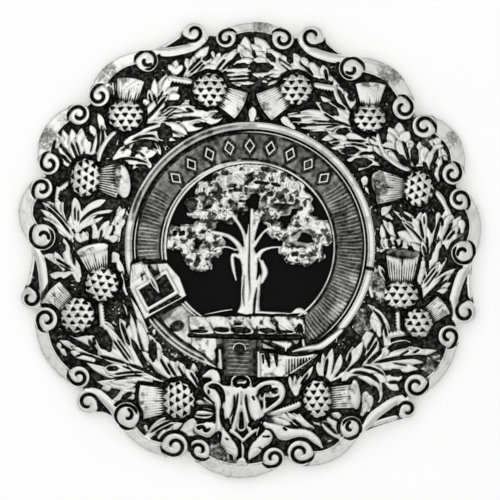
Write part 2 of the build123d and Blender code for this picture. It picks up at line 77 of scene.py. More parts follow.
def bow(root: complex, tip: complex, bend: float, parts: int = 12) -> np.ndarray:
    """Line from root to tip that bows to its left by a share of its length.

    Args:
        root: Where it starts, on the paper.
        tip: Where it ends.
        bend: How far its middle bows, as a share of its length.
        parts: How many straight runs it is made of.

    Returns:
        Its places in order.
    """
    t = np.linspace(0.0, 1.0, parts + 1)
    return root + (tip - root) * (t + 1j * bend * 4.0 * t * (1.0 - t))


def trace(rows: tuple, parts: int = 6) -> tuple[np.ndarray, np.ndarray]:
    """Smooth line through a few places, with a width at each.

    Args:
        rows: Column, row and width of each place, in order.
        parts: How many straight runs there are between two places.

    Returns:
        The line's places and its widths there.
    """
    thinnest = 0.1
    knots = np.array([(spot(column, row), width) for column, row, width in rows])
    knots = np.concatenate([knots[:1] * 2 - knots[1:2], knots, knots[-1:] * 2 - knots[-2:-1]])
    t = (np.arange(parts) / parts)[:, None]
    runs = [
        (2 * b + (c - a) * t + (2 * a - 5 * b + 4 * c - d) * t**2 + (3 * b - a - 3 * c + d) * t**3) / 2
        for a, b, c, d in zip(knots[:-3], knots[1:-2], knots[2:-1], knots[3:])
    ]
    every = np.concatenate(runs + [knots[-2:-1]])
    return every[:, 0], np.maximum(every[:, 1].real, thinnest)


def within(places: np.ndarray, corners: tuple) -> np.ndarray:
    """How far places are inside a shape with straight sides and no hollows, and below 0 outside it."""
    ends = np.array([spot(*corner) for corner in corners])
    runs = np.roll(ends, -1) - ends
    turn = np.sign((np.conj(runs[0]) * runs[1]).imag)
    sides = [(np.conj(run) / abs(run) * (places - end)).imag for end, run in zip(ends, runs)]
    return np.min([turn * side for side in sides], axis=0)


class Oval(NamedTuple):
    """An oval.

    Attributes:
        column: Column of its middle.
        row: The middle's row.
        wide: Its half width in squares.
        high: Its half height.
        angle: Its turn in degrees.
        share: Its strength.
    """

    column: float
    row: float
    wide: float
    high: float
    angle: float
    share: float = 1.0

    @property
    def middle(self) -> complex:
        """Its middle on the paper."""
        return spot(self.column, self.row)

    def spread(self, places: np.ndarray) -> np.ndarray:
        """How far places are from its middle, where 1 is its edge."""
        local = (places - self.middle) * np.exp(-1j * math.radians(self.angle))
        return np.hypot(local.real / self.wide, local.imag / self.high)


def table(kind: type, rows: tuple) -> tuple:
    """Rows of a table as rows of a kind with named columns."""
    return tuple(kind(*row) for row in rows)


def follow(places: np.ndarray, line: np.ndarray) -> tuple[np.ndarray, np.ndarray]:
    """Measure places against a line.

    Args:
        places: Places on the paper.
        line: The line's places in order.

    Returns:
        How far along the line each place is, from 0 to 1, and how far to its left, in squares.
    """
    lengths = np.abs(np.diff(line))
    whole = lengths.sum()
    best = np.full(places.shape, np.inf)
    along = np.zeros(places.shape)
    side = np.zeros(places.shape)
    run = 0.0
    for start, end, length in zip(line[:-1], line[1:], lengths):
        local = (places - start) * np.conj(end - start) / length
        reach = np.clip(local.real, 0.0, length)
        gap = np.abs(local - reach)
        nearer = gap < best
        best = np.where(nearer, gap, best)
        along = np.where(nearer, (run + reach) / whole, along)
        side = np.where(nearer, np.where(local.imag < 0, -gap, gap), side)
        run += length
    return along, side


def blur(field_: np.ndarray, cells: int, times: int = 2) -> np.ndarray:
    """Mean over a square of cells each way, taken a number of times."""
    for _ in range(times):
        for axis in (0, 1):
            padded = np.pad(field_, [(cells + 1, cells) if a == axis else (0, 0) for a in (0, 1)], "edge")
            total = np.cumsum(padded, axis=axis)
            wide = 2 * cells + 1
            high = np.take(total, np.arange(wide, total.shape[axis]), axis=axis)
            low = np.take(total, np.arange(0, total.shape[axis] - wide), axis=axis)
            field_ = (high - low) / wide
    return field_


def swell(field_: np.ndarray, cells: int) -> np.ndarray:
    """Highest value within a square of cells each way."""
    for axis in (0, 1):
        out = field_
        for shift in range(1, cells + 1):
            ahead = np.roll(field_, shift, axis=axis)
            behind = np.roll(field_, -shift, axis=axis)
            out = np.maximum(out, np.maximum(ahead, behind))
        field_ = out
    return field_


def speckle(shape: tuple[int, int], cells: int, rng: np.random.Generator) -> np.ndarray:
    """Soft random field from about -1 to 1, with lumps some cells wide."""
    coarse = rng.random((shape[0] // cells + 3, shape[1] // cells + 3))
    rows = np.arange(shape[0]) / cells
    columns = np.arange(shape[1]) / cells
    r, c = rows.astype(int), columns.astype(int)
    fr, fc = (rows - r)[:, None], (columns - c)[None, :]
    fr, fc = fr * fr * (3 - 2 * fr), fc * fc * (3 - 2 * fc)
    top = coarse[np.ix_(r, c)] * (1 - fc) + coarse[np.ix_(r, c + 1)] * fc
    low = coarse[np.ix_(r + 1, c)] * (1 - fc) + coarse[np.ix_(r + 1, c + 1)] * fc
    return (top * (1 - fr) + low * fr) * 2.0 - 1.0


@dataclass(frozen=True)
class Dome:
    """The plate's domed face and the plan of it, in millimetres and squares.

    Attributes:
        seat_radius: Radius of the flat seat under the ring.
        seat_height: Height of the seat.
        edge_radius: Greatest radius of the face.
        edge_height: Height of the face there.
        seat_squares: The seat's radius on the paper.
        edge_squares: The edge's radius on the paper.
        badge_radius: Radius of the strap ring.
    """

    seat_radius: float = 25.1
    seat_height: float = 8.0
    edge_radius: float = 46.6
    edge_height: float = 1.3
    seat_squares: float = 125.0
    edge_squares: float = 233.0
    badge_radius: float = 24.9

    def rise(self, radius: np.ndarray) -> np.ndarray:
        """Height of the face at a radius, in millimetres."""
        r0, z0, r1, z1 = self.seat_radius, self.seat_height, self.edge_radius, self.edge_height
        middle = (z0**2 - z1**2 + r0**2 - r1**2) / (2 * (z0 - z1))
        ball = math.hypot(r0, z0 - middle)
        return middle + np.sqrt(ball**2 - np.maximum(radius, r0) ** 2)

    def radius(self, reach: np.ndarray) -> np.ndarray:
        """Millimetres from the ring's axis for a reach in squares, on the plate."""
        square = (self.edge_radius - self.seat_radius) / (self.edge_squares - self.seat_squares)
        return self.seat_radius + (reach - self.seat_squares) * square

    @property
    def badge_square(self) -> float:
        """Side of a square on the badge, in millimetres."""
        return self.badge_radius / self.seat_squares


DOME = Dome()


# Relief


@dataclass
class Relief:
    """Cast relief over squared paper, kept as values at evenly spaced places.

    Attributes:
        reach: How far it goes from the middle, in squares.
        step: Spacing of the places, in squares.
        height: Height at each place, in millimetres.
        soot_and_shade: Extra darkening at each place, from -1 to 1; some of it is painted shadow and shade.
        black: Share of black at each place, once it is rubbed.
        grey: Share of grey tarnish at each place.
    """

    reach: float
    step: float = 0.4
    height: np.ndarray = field(init=False)
    soot_and_shade: np.ndarray = field(init=False)
    black: np.ndarray = field(init=False)
    grey: np.ndarray = field(init=False)

    def __post_init__(self) -> None:
        """Lay out the bare paper."""
        count = int(round(2 * self.reach / self.step)) + 1
        self.axis = np.linspace(-self.reach, self.reach, count)
        self.places = self.axis[None, :] + 1j * self.axis[:, None]
        self.height, self.soot_and_shade, self.black, self.grey = np.zeros((4, count, count))

    def window(self, middle: complex, radius: float) -> tuple[tuple[slice, slice], np.ndarray]:
        """Part of the paper round a middle.

        Args:
            middle: Where its middle is.
            radius: How far it goes each way, in squares.

        Returns:
            The part's slices, and the places in it.
        """
        low = np.searchsorted(self.axis, (middle.real - radius, middle.imag - radius))
        high = np.searchsorted(self.axis, (middle.real + radius, middle.imag + radius))
        part = (slice(int(low[1]), int(high[1])), slice(int(low[0]), int(high[0])))
        return part, self.places[part]

    def lay(self, part: tuple[slice, slice], height: np.ndarray) -> None:
        """Lay a shape on the relief: the higher of the two stays."""
        self.height[part] = np.maximum(self.height[part], height)

    def cover(self, part: tuple[slice, slice], height: np.ndarray, share: np.ndarray) -> None:
        """Lay a shape over the relief wherever its share is 1, whatever is under it."""
        self.height[part] = self.height[part] * (1 - share) + height * share

    def beside(self, line: np.ndarray, margin: float) -> tuple[tuple[slice, slice], np.ndarray, np.ndarray]:
        """Part of the paper round a line, measured against it.

        Args:
            line: The line's places in order.
            margin: How far the part goes past the line, in squares.

        Returns:
            The part's slices, and how far along the line and to its left each place in it is.
        """
        middle = (line[0] + line[-1]) / 2
        part, places = self.window(middle, float(np.abs(line - middle).max()) + margin)
        return part, *follow(places, line)

    def sink(self, part: tuple[slice, slice], depth: np.ndarray) -> None:
        """Cut into the relief, but never below its ground."""
        ground = 0.02
        height = self.height[part]
        self.height[part] = np.maximum(height - depth, np.minimum(height, ground))

    def groove(self, line: np.ndarray, width: float, depth: float, fade: float = 0.12) -> None:
        """Cut a groove along a line.

        Args:
            line: The line's places in order.
            width: The groove's whole width, in squares.
            depth: Its depth in millimetres.
            fade: Share of its length over which each end tapers out.
        """
        part, along, side = self.beside(line, width)
        taper = smooth(along, -0.001, fade) * smooth(1 - along, -0.001, fade)
        half = width / 2 * (0.35 + 0.65 * taper)
        cut = smooth(half + 0.5 - np.abs(side), 0.0, 1.1) * (0.3 + 0.7 * taper)
        self.sink(part, depth * cut)

    def ribbon(self, line: np.ndarray, width: float, height: float) -> None:
        """Lay a round-backed ribbon of a width in squares and a height in millimetres along a line."""
        part, _, side = self.beside(line, width)
        self.lay(part, height * hump(side, width / 2) ** 0.6)

    def band(self, rows: tuple, height: float, square: float = 0.5, cut: bool = False) -> None:
        """Lay or cut a band of changing width along a smooth line.

        Args:
            rows: Column, row and width of each of its places.
            height: Its height, or how deep it is cut, in millimetres.
            square: How square its back is: 1 is round and near 0 is flat.
            cut: True to cut it out.
        """
        line, widths = trace(rows)
        part, along, side = self.beside(line, widths.max())
        run = np.concatenate([[0], np.cumsum(np.abs(np.diff(line)))])
        half = np.interp(along, run / run[-1], widths) / 2
        if cut:
            self.sink(part, height * smooth(half + 0.4 - np.abs(side), 0.0, 1.1))
        else:
            rise = height * hump(side, half) ** square
            self.soot_and_shade[part] *= 1 - smooth(rise - self.height[part], 0.0, 0.1)
            self.lay(part, rise)

    def sample(self, places: np.ndarray, values: np.ndarray) -> np.ndarray:
        """Read a field of values at places between its own.

        Args:
            places: Places on the paper.
            values: The height or another field of the same size.

        Returns:
            The values there.
        """
        last = len(self.axis) - 1.001
        x = np.clip((places.real + self.reach) / self.step, 0, last)
        y = np.clip((places.imag + self.reach) / self.step, 0, last)
        c, r = x.astype(int), y.astype(int)
        fx, fy = x - c, y - r
        low = values[r, c] * (1 - fx) + values[r, c + 1] * fx
        high = values[r + 1, c] * (1 - fx) + values[r + 1, c + 1] * fx
        return low * (1 - fy) + high * fy

    def rub(self, near: float, low: float, high: float, ground: float = 0.0) -> None:
        """Rub the high places bright, so that black stays in the hollows.

        Args:
            near: How far a high place keeps the cloth off its neighbours, in squares.
            low: Depth below the neighbours at which the black starts, in millimetres.
            high: Depth at which it is full.
            ground: Height below which everything is black.
        """
        cells = max(1, int(round(near / self.step)))
        cloth = blur(swell(self.height, cells), cells, 1)
        hollow = smooth(cloth - self.height, low, high)
        if ground > 0:
            hollow = np.maximum(hollow, 0.9 * smooth(ground - self.height, 0.0, ground * 0.7))
        self.black = np.clip(hollow + self.soot_and_shade, 0.0, 1.0)


# Finishes


@dataclass
class Shading:
    """Node tree of one finish, with short ways to add to it.

    Attributes:
        name: The finish's name.
    """

    name: str

    def __post_init__(self) -> None:
        """Start a material with its own Principled shader."""
        self.material = bpy.data.materials.new(self.name)
        self.material.use_nodes = True
        self.tree = self.material.node_tree
        self.shader = self.tree.nodes["Principled BSDF"]
        self.coordinates = self.tree.nodes.new("ShaderNodeTexCoord").outputs["Object"]

    def node(self, kind: str, **settings: object) -> bpy.types.Node:
        """Add a node with its settings."""
        made = self.tree.nodes.new(kind)
        for key, value in settings.items():
            setattr(made, key, value)
        return made

    def link(self, source: bpy.types.NodeSocket, target: bpy.types.NodeSocket) -> None:
        """Join two sockets."""
        self.tree.links.new(source, target)

    def noise(self, size_mm: float, detail: float, stretch: tuple = (1, 1, 1)) -> bpy.types.NodeSocket:
        """Noise with lumps of a size in millimetres.

        Args:
            size_mm: Size of its lumps.
            detail: How many finer layers it has.
            stretch: How much each axis is squeezed.

        Returns:
            Its value, from 0 to 1.
        """
        mapping = self.node("ShaderNodeMapping")
        mapping.inputs["Scale"].default_value = stretch
        self.link(self.coordinates, mapping.inputs["Vector"])
        made = self.node("ShaderNodeTexNoise")
        made.inputs["Scale"].default_value = 1.0 / (size_mm * MM)
        made.inputs["Detail"].default_value = detail
        self.link(mapping.outputs["Vector"], made.inputs["Vector"])
        return made.outputs["Fac"]

    def sums(self, kind: str, a: object, b: object) -> bpy.types.NodeSocket:
        """Join two values by a sum of a kind.

        Args:
            kind: The sum's name, such as MULTIPLY.
            a: First value or socket.
            b: Second value or socket.

        Returns:
            The answer's socket.
        """
        made = self.node("ShaderNodeMath", operation=kind)
        for value, socket in ((a, made.inputs[0]), (b, made.inputs[1])):
            if isinstance(value, bpy.types.NodeSocket):
                self.link(value, socket)
            else:
                socket.default_value = value
        return made.outputs[0]

    def span(self, value: bpy.types.NodeSocket, low: float, high: float) -> bpy.types.NodeSocket:
        """Stretch a value so that low becomes 0 and high becomes 1."""
        made = self.node("ShaderNodeMapRange", interpolation_type="SMOOTHSTEP")
        self.link(value, made.inputs["Value"])
        made.inputs["From Min"].default_value = low
        made.inputs["From Max"].default_value = high
        return made.outputs["Result"]

    def mix(self, share: bpy.types.NodeSocket, first: object, second: object) -> bpy.types.NodeSocket:
        """Mix two colours by a share.

        Args:
            share: How much of the second colour.
            first: First colour or socket.
            second: Second colour or socket.

        Returns:
            The mixed colour's socket.
        """
        made = self.node("ShaderNodeMix", data_type="RGBA")
        self.link(share, made.inputs["Factor"])
        for value, socket in ((first, made.inputs[6]), (second, made.inputs[7])):
            if isinstance(value, bpy.types.NodeSocket):
                self.link(value, socket)
            else:
                socket.default_value = (*value, 1.0)
        return made.outputs[2]

    def bump(self, height: bpy.types.NodeSocket, depth_mm: float) -> None:
        """Give the surface fine relief of a depth."""
        made = self.node("ShaderNodeBump")
        made.inputs["Distance"].default_value = depth_mm * MM
        self.link(height, made.inputs["Height"])
        self.link(made.outputs["Normal"], self.shader.inputs["Normal"])


@dataclass(frozen=True)
class AntiqueSilver:
    """Cast metal, black in its hollows and rubbed bright on its high places.

    Attributes:
        name: The material's name.
        bright: Colour of the rubbed metal.
        dull: Colour of metal that is tarnished grey.
        black: Colour of the hollows.
        ash: Colour of the grey that lies in the hollows in spots.
        shine: Roughness of the rubbed metal.
        grain_mm: Size of the casting's grain.
        grain_depth_mm: Depth of that grain.
        blotch_mm: Size of the blotches of tarnish.
        spot_mm: Size of the grey spots in the hollows.
        scratch_mm: Size of the fine scratches across.
        ragged: How ragged the grain makes the edges of the black.
        dullness: Greatest share of tarnish.
    """

    name: str
    bright: tuple[float, float, float] = (0.80, 0.80, 0.775)
    dull: tuple[float, float, float] = (0.13, 0.13, 0.125)
    black: tuple[float, float, float] = (0.009, 0.009, 0.009)
    ash: tuple[float, float, float] = (0.085, 0.085, 0.082)
    shine: float = 0.27
    grain_mm: float = 0.55
    grain_depth_mm: float = 0.022
    blotch_mm: float = 2.2
    spot_mm: float = 0.85
    scratch_mm: float = 0.16
    ragged: float = 0.30
    dullness: float = 0.80

    def material(self) -> bpy.types.Material:
        """Build the material from the vertex fields patina and tarnish."""
        made = Shading(self.name)
        patina = made.node("ShaderNodeAttribute", attribute_name="patina").outputs["Fac"]
        tarnish = made.node("ShaderNodeAttribute", attribute_name="tarnish").outputs["Fac"]
        grain = made.noise(self.grain_mm, 4.0)
        blotch = made.noise(self.blotch_mm, 6.0)
        scratch = made.noise(self.scratch_mm, 2.0, (1.0, 0.12, 1.0))
        tooth = made.sums("MULTIPLY", made.sums("SUBTRACT", grain, 0.5), self.ragged)
        ragged = made.sums("ADD", patina, tooth)
        kept = made.sums("SUBTRACT", 1.0, made.span(ragged, 0.04, 0.96))
        black = made.sums("SUBTRACT", 1.0, made.sums("POWER", kept, 2.2))
        mottle = made.span(made.sums("MULTIPLY", tarnish, made.sums("ADD", blotch, grain)), 0.62, 1.25)
        haze = made.span(blotch, 0.48, 0.78)
        light = made.mix(made.sums("MULTIPLY", haze, 0.30), self.bright, self.dull)
        pitted = made.span(made.noise(self.spot_mm, 5.0), 0.44, 0.70)
        hollow = made.mix(pitted, self.black, self.ash)
        metal = made.mix(made.sums("MULTIPLY", mottle, self.dullness), light, self.dull)
        colour = made.mix(black, metal, hollow)
        made.link(colour, made.shader.inputs["Base Color"])
        rough = made.sums("ADD", self.shine, made.sums("MULTIPLY", scratch, 0.10))
        rough = made.sums("ADD", rough, made.sums("MULTIPLY", made.sums("MAXIMUM", black, mottle), 0.22))
        made.link(rough, made.shader.inputs["Roughness"])
        made.shader.inputs["Metallic"].default_value = 1.0
        made.bump(made.sums("ADD", grain, made.sums("MULTIPLY", scratch, 0.25)), self.grain_depth_mm)
        return made.material


@dataclass(frozen=True)
class BlackEnamel:
    """Smooth black ground behind the tree.

    Attributes:
        name: The material's name.
        colour: Colour of the enamel.
        dust: Colour of the dust on it.
        shine: Its least roughness.
    """

    name: str = "black_enamel"
    colour: tuple[float, float, float] = (0.0035, 0.0035, 0.0035)
    dust: tuple[float, float, float] = (0.006, 0.006, 0.006)
    shine: float = 0.30

    def material(self) -> bpy.types.Material:
        """Build the material, with a faint orange-peel and dust in it."""
        made = Shading(self.name)
        cloud = made.noise(3.0, 4.0)
        made.link(made.mix(cloud, self.colour, self.dust), made.shader.inputs["Base Color"])
        rough = made.sums("ADD", self.shine, made.sums("MULTIPLY", made.noise(1.0, 5.0), 0.2))
        made.link(rough, made.shader.inputs["Roughness"])
        made.shader.inputs["Specular IOR Level"].default_value = 0.04
        made.bump(made.noise(0.8, 2.0), 0.02)
        return made.material


@dataclass(frozen=True)
class PlainSteel:
    """Drawn steel of the pin, with marks along it.

    Attributes:
        name: The material's name.
        colour: Colour of the steel.
        stained: Colour of the stains on it.
        shine: Its least roughness.
    """

    name: str = "pin_steel"
    colour: tuple[float, float, float] = (0.58, 0.58, 0.59)
    stained: tuple[float, float, float] = (0.2, 0.19, 0.18)
    shine: float = 0.25

    def material(self) -> bpy.types.Material:
        """Build the material, with draw marks along the pin."""
        made = Shading(self.name)
        marks = made.noise(0.2, 3.0, (0.05, 1.0, 1.0))
        stain = made.span(made.noise(2.5, 5.0), 0.45, 0.75)
        colour = made.mix(made.sums("MULTIPLY", stain, 0.5), self.colour, self.stained)
        made.link(colour, made.shader.inputs["Base Color"])
        rough = made.sums("ADD", self.shine, made.sums("MULTIPLY", marks, 0.2))
        made.link(rough, made.shader.inputs["Roughness"])
        made.shader.inputs["Metallic"].default_value = 1.0
        made.bump(marks, 0.015)
        return made.material


@dataclass(frozen=True)
class PaleFloor:
    """Matt white paper under the brooch.

    Attributes:
        name: The material's name.
        colour: Colour of the paper.
        cloudy: Colour of its slightly darker places.
        glow: How much it shines by itself, for a pale background.
    """

    name: str = "pale_floor"
    colour: tuple[float, float, float] = (0.92, 0.92, 0.92)
    cloudy: tuple[float, float, float] = (0.89, 0.89, 0.89)
    glow: float = 0.20

    def material(self) -> bpy.types.Material:
        """Build the material, with a slight cloudiness."""
        made = Shading(self.name)
        cloud = made.noise(40.0, 2.0)
        made.link(made.mix(cloud, self.colour, self.cloudy), made.shader.inputs["Base Color"])
        made.shader.inputs["Roughness"].default_value = 0.9
        made.shader.inputs["Specular IOR Level"].default_value = 0.1
        made.shader.inputs["Emission Color"].default_value = (1.0, 1.0, 1.0, 1.0)
        made.shader.inputs["Emission Strength"].default_value = self.glow
        return made.material


# Meshes


@dataclass
class Weave:
    """Mesh made of rows and columns of places.

    Attributes:
        name: The piece's name.
        places: Rows by columns by three, in millimetres from the ring's axis.
        patina: Share of black at each place.
        tarnish: Share of grey tarnish at each place.
        round_columns: True if the last column joins the first.
    """

    name: str
    places: np.ndarray
    patina: np.ndarray
    tarnish: np.ndarray
    round_columns: bool = True

    def build(self, middle: Vector, finish: bpy.types.Material) -> bpy.types.Object:
        """Make the closed mesh: rows go round a section, and open ends get a cap.

        Args:
            middle: The ring's axis, in metres.
            finish: The piece's material.

        Returns:
            The piece.
        """
        rows, columns = self.places.shape[:2]
        index = np.arange(rows * columns).reshape(rows, columns)
        below = np.roll(index, -1, axis=0)
        if self.round_columns:
            here, after, under, beyond = index, np.roll(index, -1, 1), below, np.roll(below, -1, 1)
        else:
            here, after, under, beyond = index[:, :-1], index[:, 1:], below[:, :-1], below[:, 1:]
        quads = np.stack([here, after, beyond, under], axis=-1).reshape(-1, 4)
        caps = [] if self.round_columns else [index[:, 0], index[:, -1][::-1]]
        corners = self.places.reshape(-1, 3)
        return solid(self.name, corners, quads, caps, self.patina, self.tarnish, middle, finish)


def solid(
    name: str,
    places: np.ndarray,
    quads: np.ndarray,
    caps: list[np.ndarray],
    patina: np.ndarray,
    tarnish: np.ndarray,
    middle: Vector,
    finish: bpy.types.Material,
) -> bpy.types.Object:
    """Make a closed mesh object whose faces look outward.

    Args:
        name: The piece's name.
        places: Its corners in millimetres from the ring's axis.
        quads: Its four-sided faces, as rows of corner numbers.
        caps: Its many-sided faces.
        patina: Share of black at each corner.
        tarnish: Share of tarnish at each corner.
        middle: The ring's axis, in metres.
        finish: The piece's material.

    Returns:
        The piece.
    """
    a, b, c, d = (places[quads[:, k]] for k in range(4))
    volume = np.einsum("ij,ij->i", a, np.cross(b, c) + np.cross(c, d)).sum()
    if volume < 0:
        quads = quads[:, ::-1]
        caps = [cap[::-1] for cap in caps]
    corners = np.concatenate([quads.reshape(-1)] + [np.asarray(cap) for cap in caps])
    starts = np.cumsum([0] + [4] * len(quads) + [len(cap) for cap in caps])[:-1]
    mesh = bpy.data.meshes.new(name)
    mesh.vertices.add(len(places))
    shifted = places * MM + np.array([middle.x, middle.y, 0.0])
    mesh.vertices.foreach_set("co", shifted.astype(np.float32).reshape(-1))
    mesh.loops.add(len(corners))
    mesh.loops.foreach_set("vertex_index", corners.astype(np.int32))
    mesh.polygons.add(len(quads) + len(caps))
    mesh.polygons.foreach_set("loop_start", starts.astype(np.int32))
    smooth_faces = np.ones(len(quads) + len(caps), dtype=bool)
    smooth_faces[len(quads):] = False
    mesh.polygons.foreach_set("use_smooth", smooth_faces)
    mesh.update(calc_edges=True)
    mesh.validate()
    for label, values in (("patina", patina), ("tarnish", tarnish)):
        made = mesh.attributes.new(label, "FLOAT", "POINT")
        made.data.foreach_set("value", np.asarray(values, dtype=np.float32).reshape(-1))
    mesh.materials.append(finish)
    piece = bpy.data.objects.new(name, mesh)
    bpy.context.scene.collection.objects.link(piece)
    return piece


# Rim


class Link(Enum):
    """What runs from one coil of the rim to the next."""

    CRESCENT = "crescent"
    SCROLL = "scroll"
    NOTCH = "notch"


class Coil(NamedTuple):
    """A coil of the rim.

    Attributes:
        column: Column of its middle.
        row: The middle's row.
        radius: Its radius in squares.
        link: What runs from it to the next coil.
        bulge: How far that stands out past the line between the two coils' middles.
    """

    column: float
    row: float
    radius: float
    link: Link
    bulge: float

    @property
    def middle(self) -> complex:
        """Its middle on the paper."""
        return spot(self.column, self.row)


RIM = tuple(
    Coil(column, row, radius, Link(link), bulge)
    for column, row, radius, link, bulge in (
        (226, 38, 10, "crescent", 17), (283, 39, 11, "notch", 0), (312, 37, 12, "scroll", 6),
        (351, 69, 12, "crescent", 26), (404, 108, 12, "notch", 0), (424, 126, 12, "crescent", 25),
        (453, 174, 11, "notch", 0), (460, 199, 11, "crescent", 21), (463, 253, 12, "scroll", 8),
        (465, 312, 12, "notch", 0), (449, 336, 11, "crescent", 19), (416, 386, 12, "notch", 0),
        (407, 409, 10, "scroll", 7), (351, 427, 11, "crescent", 23), (300, 453, 13, "notch", 0),
        (274, 458, 11, "crescent", 25), (199, 450, 11, "notch", 0), (175, 446, 13, "crescent", 20),
        (127, 415, 13, "scroll", 6), (88, 402, 12, "notch", 0), (79, 377, 11, "crescent", 21),
        (46, 319, 12, "notch", 0), (31, 298, 11, "scroll", 6), (43, 237, 13, "crescent", 25),
        (42, 188, 11, "notch", 0), (49, 164, 11, "crescent", 23), (79, 114, 11, "notch", 0),
        (99, 96, 11, "crescent", 21), (147, 61, 11, "scroll", 6), (194, 33, 11, "notch", 0),
    )
)


def heading(this: Coil, that: Coil) -> complex:
    """Direction from one coil to another."""
    return (that.middle - this.middle) / abs(that.middle - this.middle)


def circle_through(a: complex, b: complex, c: complex) -> tuple[complex, float]:
    """Middle and radius of the circle through three places."""
    u, v = b - a, c - a
    offset = 1j * (u * abs(v) ** 2 - v * abs(u) ** 2) / (2 * (u.real * v.imag - u.imag * v.real))
    return a + offset, abs(offset)


@dataclass
class Rim:
    """Scalloped rim of C and S scrolls.

    Attributes:
        crescent_height: Height of the crescents over the face, in millimetres.
        coil_height: Height of the coils.
        scroll_height: Height of the S-scrolls.
        crescent_inner: Share of a crescent's bulge at which its inner edge stands off its chord.
        hug: Path of an S-scroll from its free coil: share of the way, outward offset and width, in squares.
        band: Mean width of the rim, in squares.
        rounding: Radius of the rounded edge, in millimetres.
        clear: How far it stays inside the solid's outline, in squares.
        square: Side of a square near the edge, in millimetres.
        lean: Angle between a crescent's chord and the start of its coils' grooves, in degrees.
        groove_width: Width of the coils' grooves, in squares.
        groove_depth: Depth of those grooves, in millimetres.
        wrap: Where a crescent's outline leaves its coil.
        bound: Winding of a coil's groove beside a crescent.
        free: Winding of the groove of an S-scroll's free coil.
        joint: Winding of the groove where an S-scroll meets a crescent.
        comma: Winding of the short groove inside that one.
        crowding: How much closer the mesh's rows lie at the edge, where 1 is even.
        wall: Rows of the outer wall: share of its height, and how far it is set in, in millimetres.
        rest_radius: Inner radius of the flat back.
        hollow_radius: Radius of the hollow behind the flat back.
        hollow_drop: How far that row lies below the dome's face.
        thickness: How far below the face the rim's inner edge ends.
    """

    crescent_height: float = 0.75
    coil_height: float = 1.2
    scroll_height: float = 1.0
    crescent_inner: float = 0.33
    hug: tuple = (
        (-0.22, -7, 5), (-0.10, -10.5, 8), (0.14, -11.5, 10), (0.38, -8, 10.5), (0.62, -2.5, 10.5),
        (0.78, 4.5, 7), (0.87, 10, 2),
    )
    band: float = 27.0
    rounding: float = 0.45
    clear: float = 0.06
    square: float = 0.199
    lean: float = 42.0
    groove_width: float = 2.7
    groove_depth: float = 0.95
    wrap: complex = 0.8 + 0.6j
    bound: tuple[tuple[float, float], ...] = (
        (-8, 1.10), (18, 0.92), (45, 0.77), (80, 0.68), (130, 0.62), (180, 0.57), (230, 0.51),
        (280, 0.44), (340, 0.34), (390, 0.24),
    )
    free: tuple[tuple[float, float], ...] = (
        (-20, 1.10), (10, 0.92), (50, 0.76), (110, 0.64), (170, 0.58), (230, 0.50), (290, 0.40),
        (340, 0.28),
    )
    joint: tuple[tuple[float, float], ...] = ((-8, 1.12), (40, 0.94), (120, 0.84), (200, 0.80), (285, 0.78))
    comma: tuple[tuple[float, float], ...] = ((200, 0.52), (260, 0.42), (330, 0.32), (400, 0.18))
    crowding: float = 1.15
    wall: tuple[tuple[float, float], ...] = ((0.66, 0.0), (0.33, 0.0), (0.06, 0.0), (0.0, 0.12))
    rest_radius: float = 42.0
    hollow_radius: float = 41.9
    hollow_drop: float = 0.9
    thickness: float = 0.7

    def pairs(self) -> list[tuple[int, Coil, Coil]]:
        """Each coil's number, with it and the next one round."""
        return [(i, this, that) for i, (this, that) in enumerate(zip(RIM, RIM[1:] + RIM[:1]))]

    def ends(self, this: Coil, that: Coil) -> tuple[complex, complex, complex]:
        """First place, crown and last place of a crescent's outer arc."""
        chord = heading(this, that)
        outward = chord * 1j
        first = this.middle + chord * complex(-self.wrap.real, self.wrap.imag) * this.radius
        last = that.middle + chord * self.wrap * that.radius
        crown = (this.middle + that.middle) / 2 + outward * this.bulge
        return first, crown, last

    def edge(self, angles: np.ndarray) -> np.ndarray:
        """How far the outline is from the middle at each angle, in squares."""
        rays = np.exp(1j * angles)
        reach = np.zeros(angles.shape)

        def widen(centre: complex, radius: float, first: complex, last: complex) -> None:
            """Push the outline out to a circle, between the angles of two places."""
            local = centre * np.conj(rays)
            inside = np.abs(local.imag) < radius
            far = local.real + np.sqrt(np.where(inside, radius**2 - local.imag**2, 0.0))
            middle = math.atan2((first + last).imag, (first + last).real)
            half = abs(math.remainder(math.atan2(first.imag, first.real) - middle, FULL_TURN))
            near = np.abs(np.angle(rays * np.exp(-1j * middle))) <= half
            np.maximum(reach, np.where(inside & near, far, 0.0), out=reach)

        for _, this, that in self.pairs():
            side = this.middle * 1j / abs(this.middle) * this.radius
            widen(this.middle, this.radius, this.middle + side, this.middle - side)
            run = that.middle - this.middle
            cross = (np.conj(rays) * run).imag
            length = (np.conj(this.middle) * run).imag / cross
            share = ((rays * length - this.middle) * np.conj(run)).real / abs(run) ** 2
            on_run = (share >= 0) & (share <= 1) & (length > 0)
            np.maximum(reach, np.where(on_run, length, 0.0), out=reach)
            if this.link is Link.CRESCENT:
                first, crown, last = self.ends(this, that)
                centre, radius = circle_through(first, crown, last)
                widen(centre, radius, first, last)
            if this.link is Link.SCROLL:
                outward = run / abs(run) * 1j
                first = this.middle + outward * (this.radius - 1)
                last = that.middle + outward * (that.radius - 1)
                line = bow(first, last, -(this.radius - 1 - this.bulge) / abs(last - first), 40)
                turn = np.angle(line / line[0])
                order = np.argsort(turn)
                local = np.angle(rays / (line[0] / abs(line[0])))
                r = np.interp(local, turn[order], np.abs(line)[order], left=0.0, right=0.0)
                np.maximum(reach, r, out=reach)
        return reach - self.clear

    def inner_edge(self, angles: np.ndarray) -> np.ndarray:
        """Where the rim's piece meets the wreath's, in squares."""
        reach = self.edge(angles)
        count = len(angles) // 36
        kernel = np.ones(2 * count + 1) / (2 * count + 1)
        padded = np.concatenate([reach[-count:], reach, reach[:count]])
        mean = np.convolve(padded, kernel, "valid")
        return mean - self.band

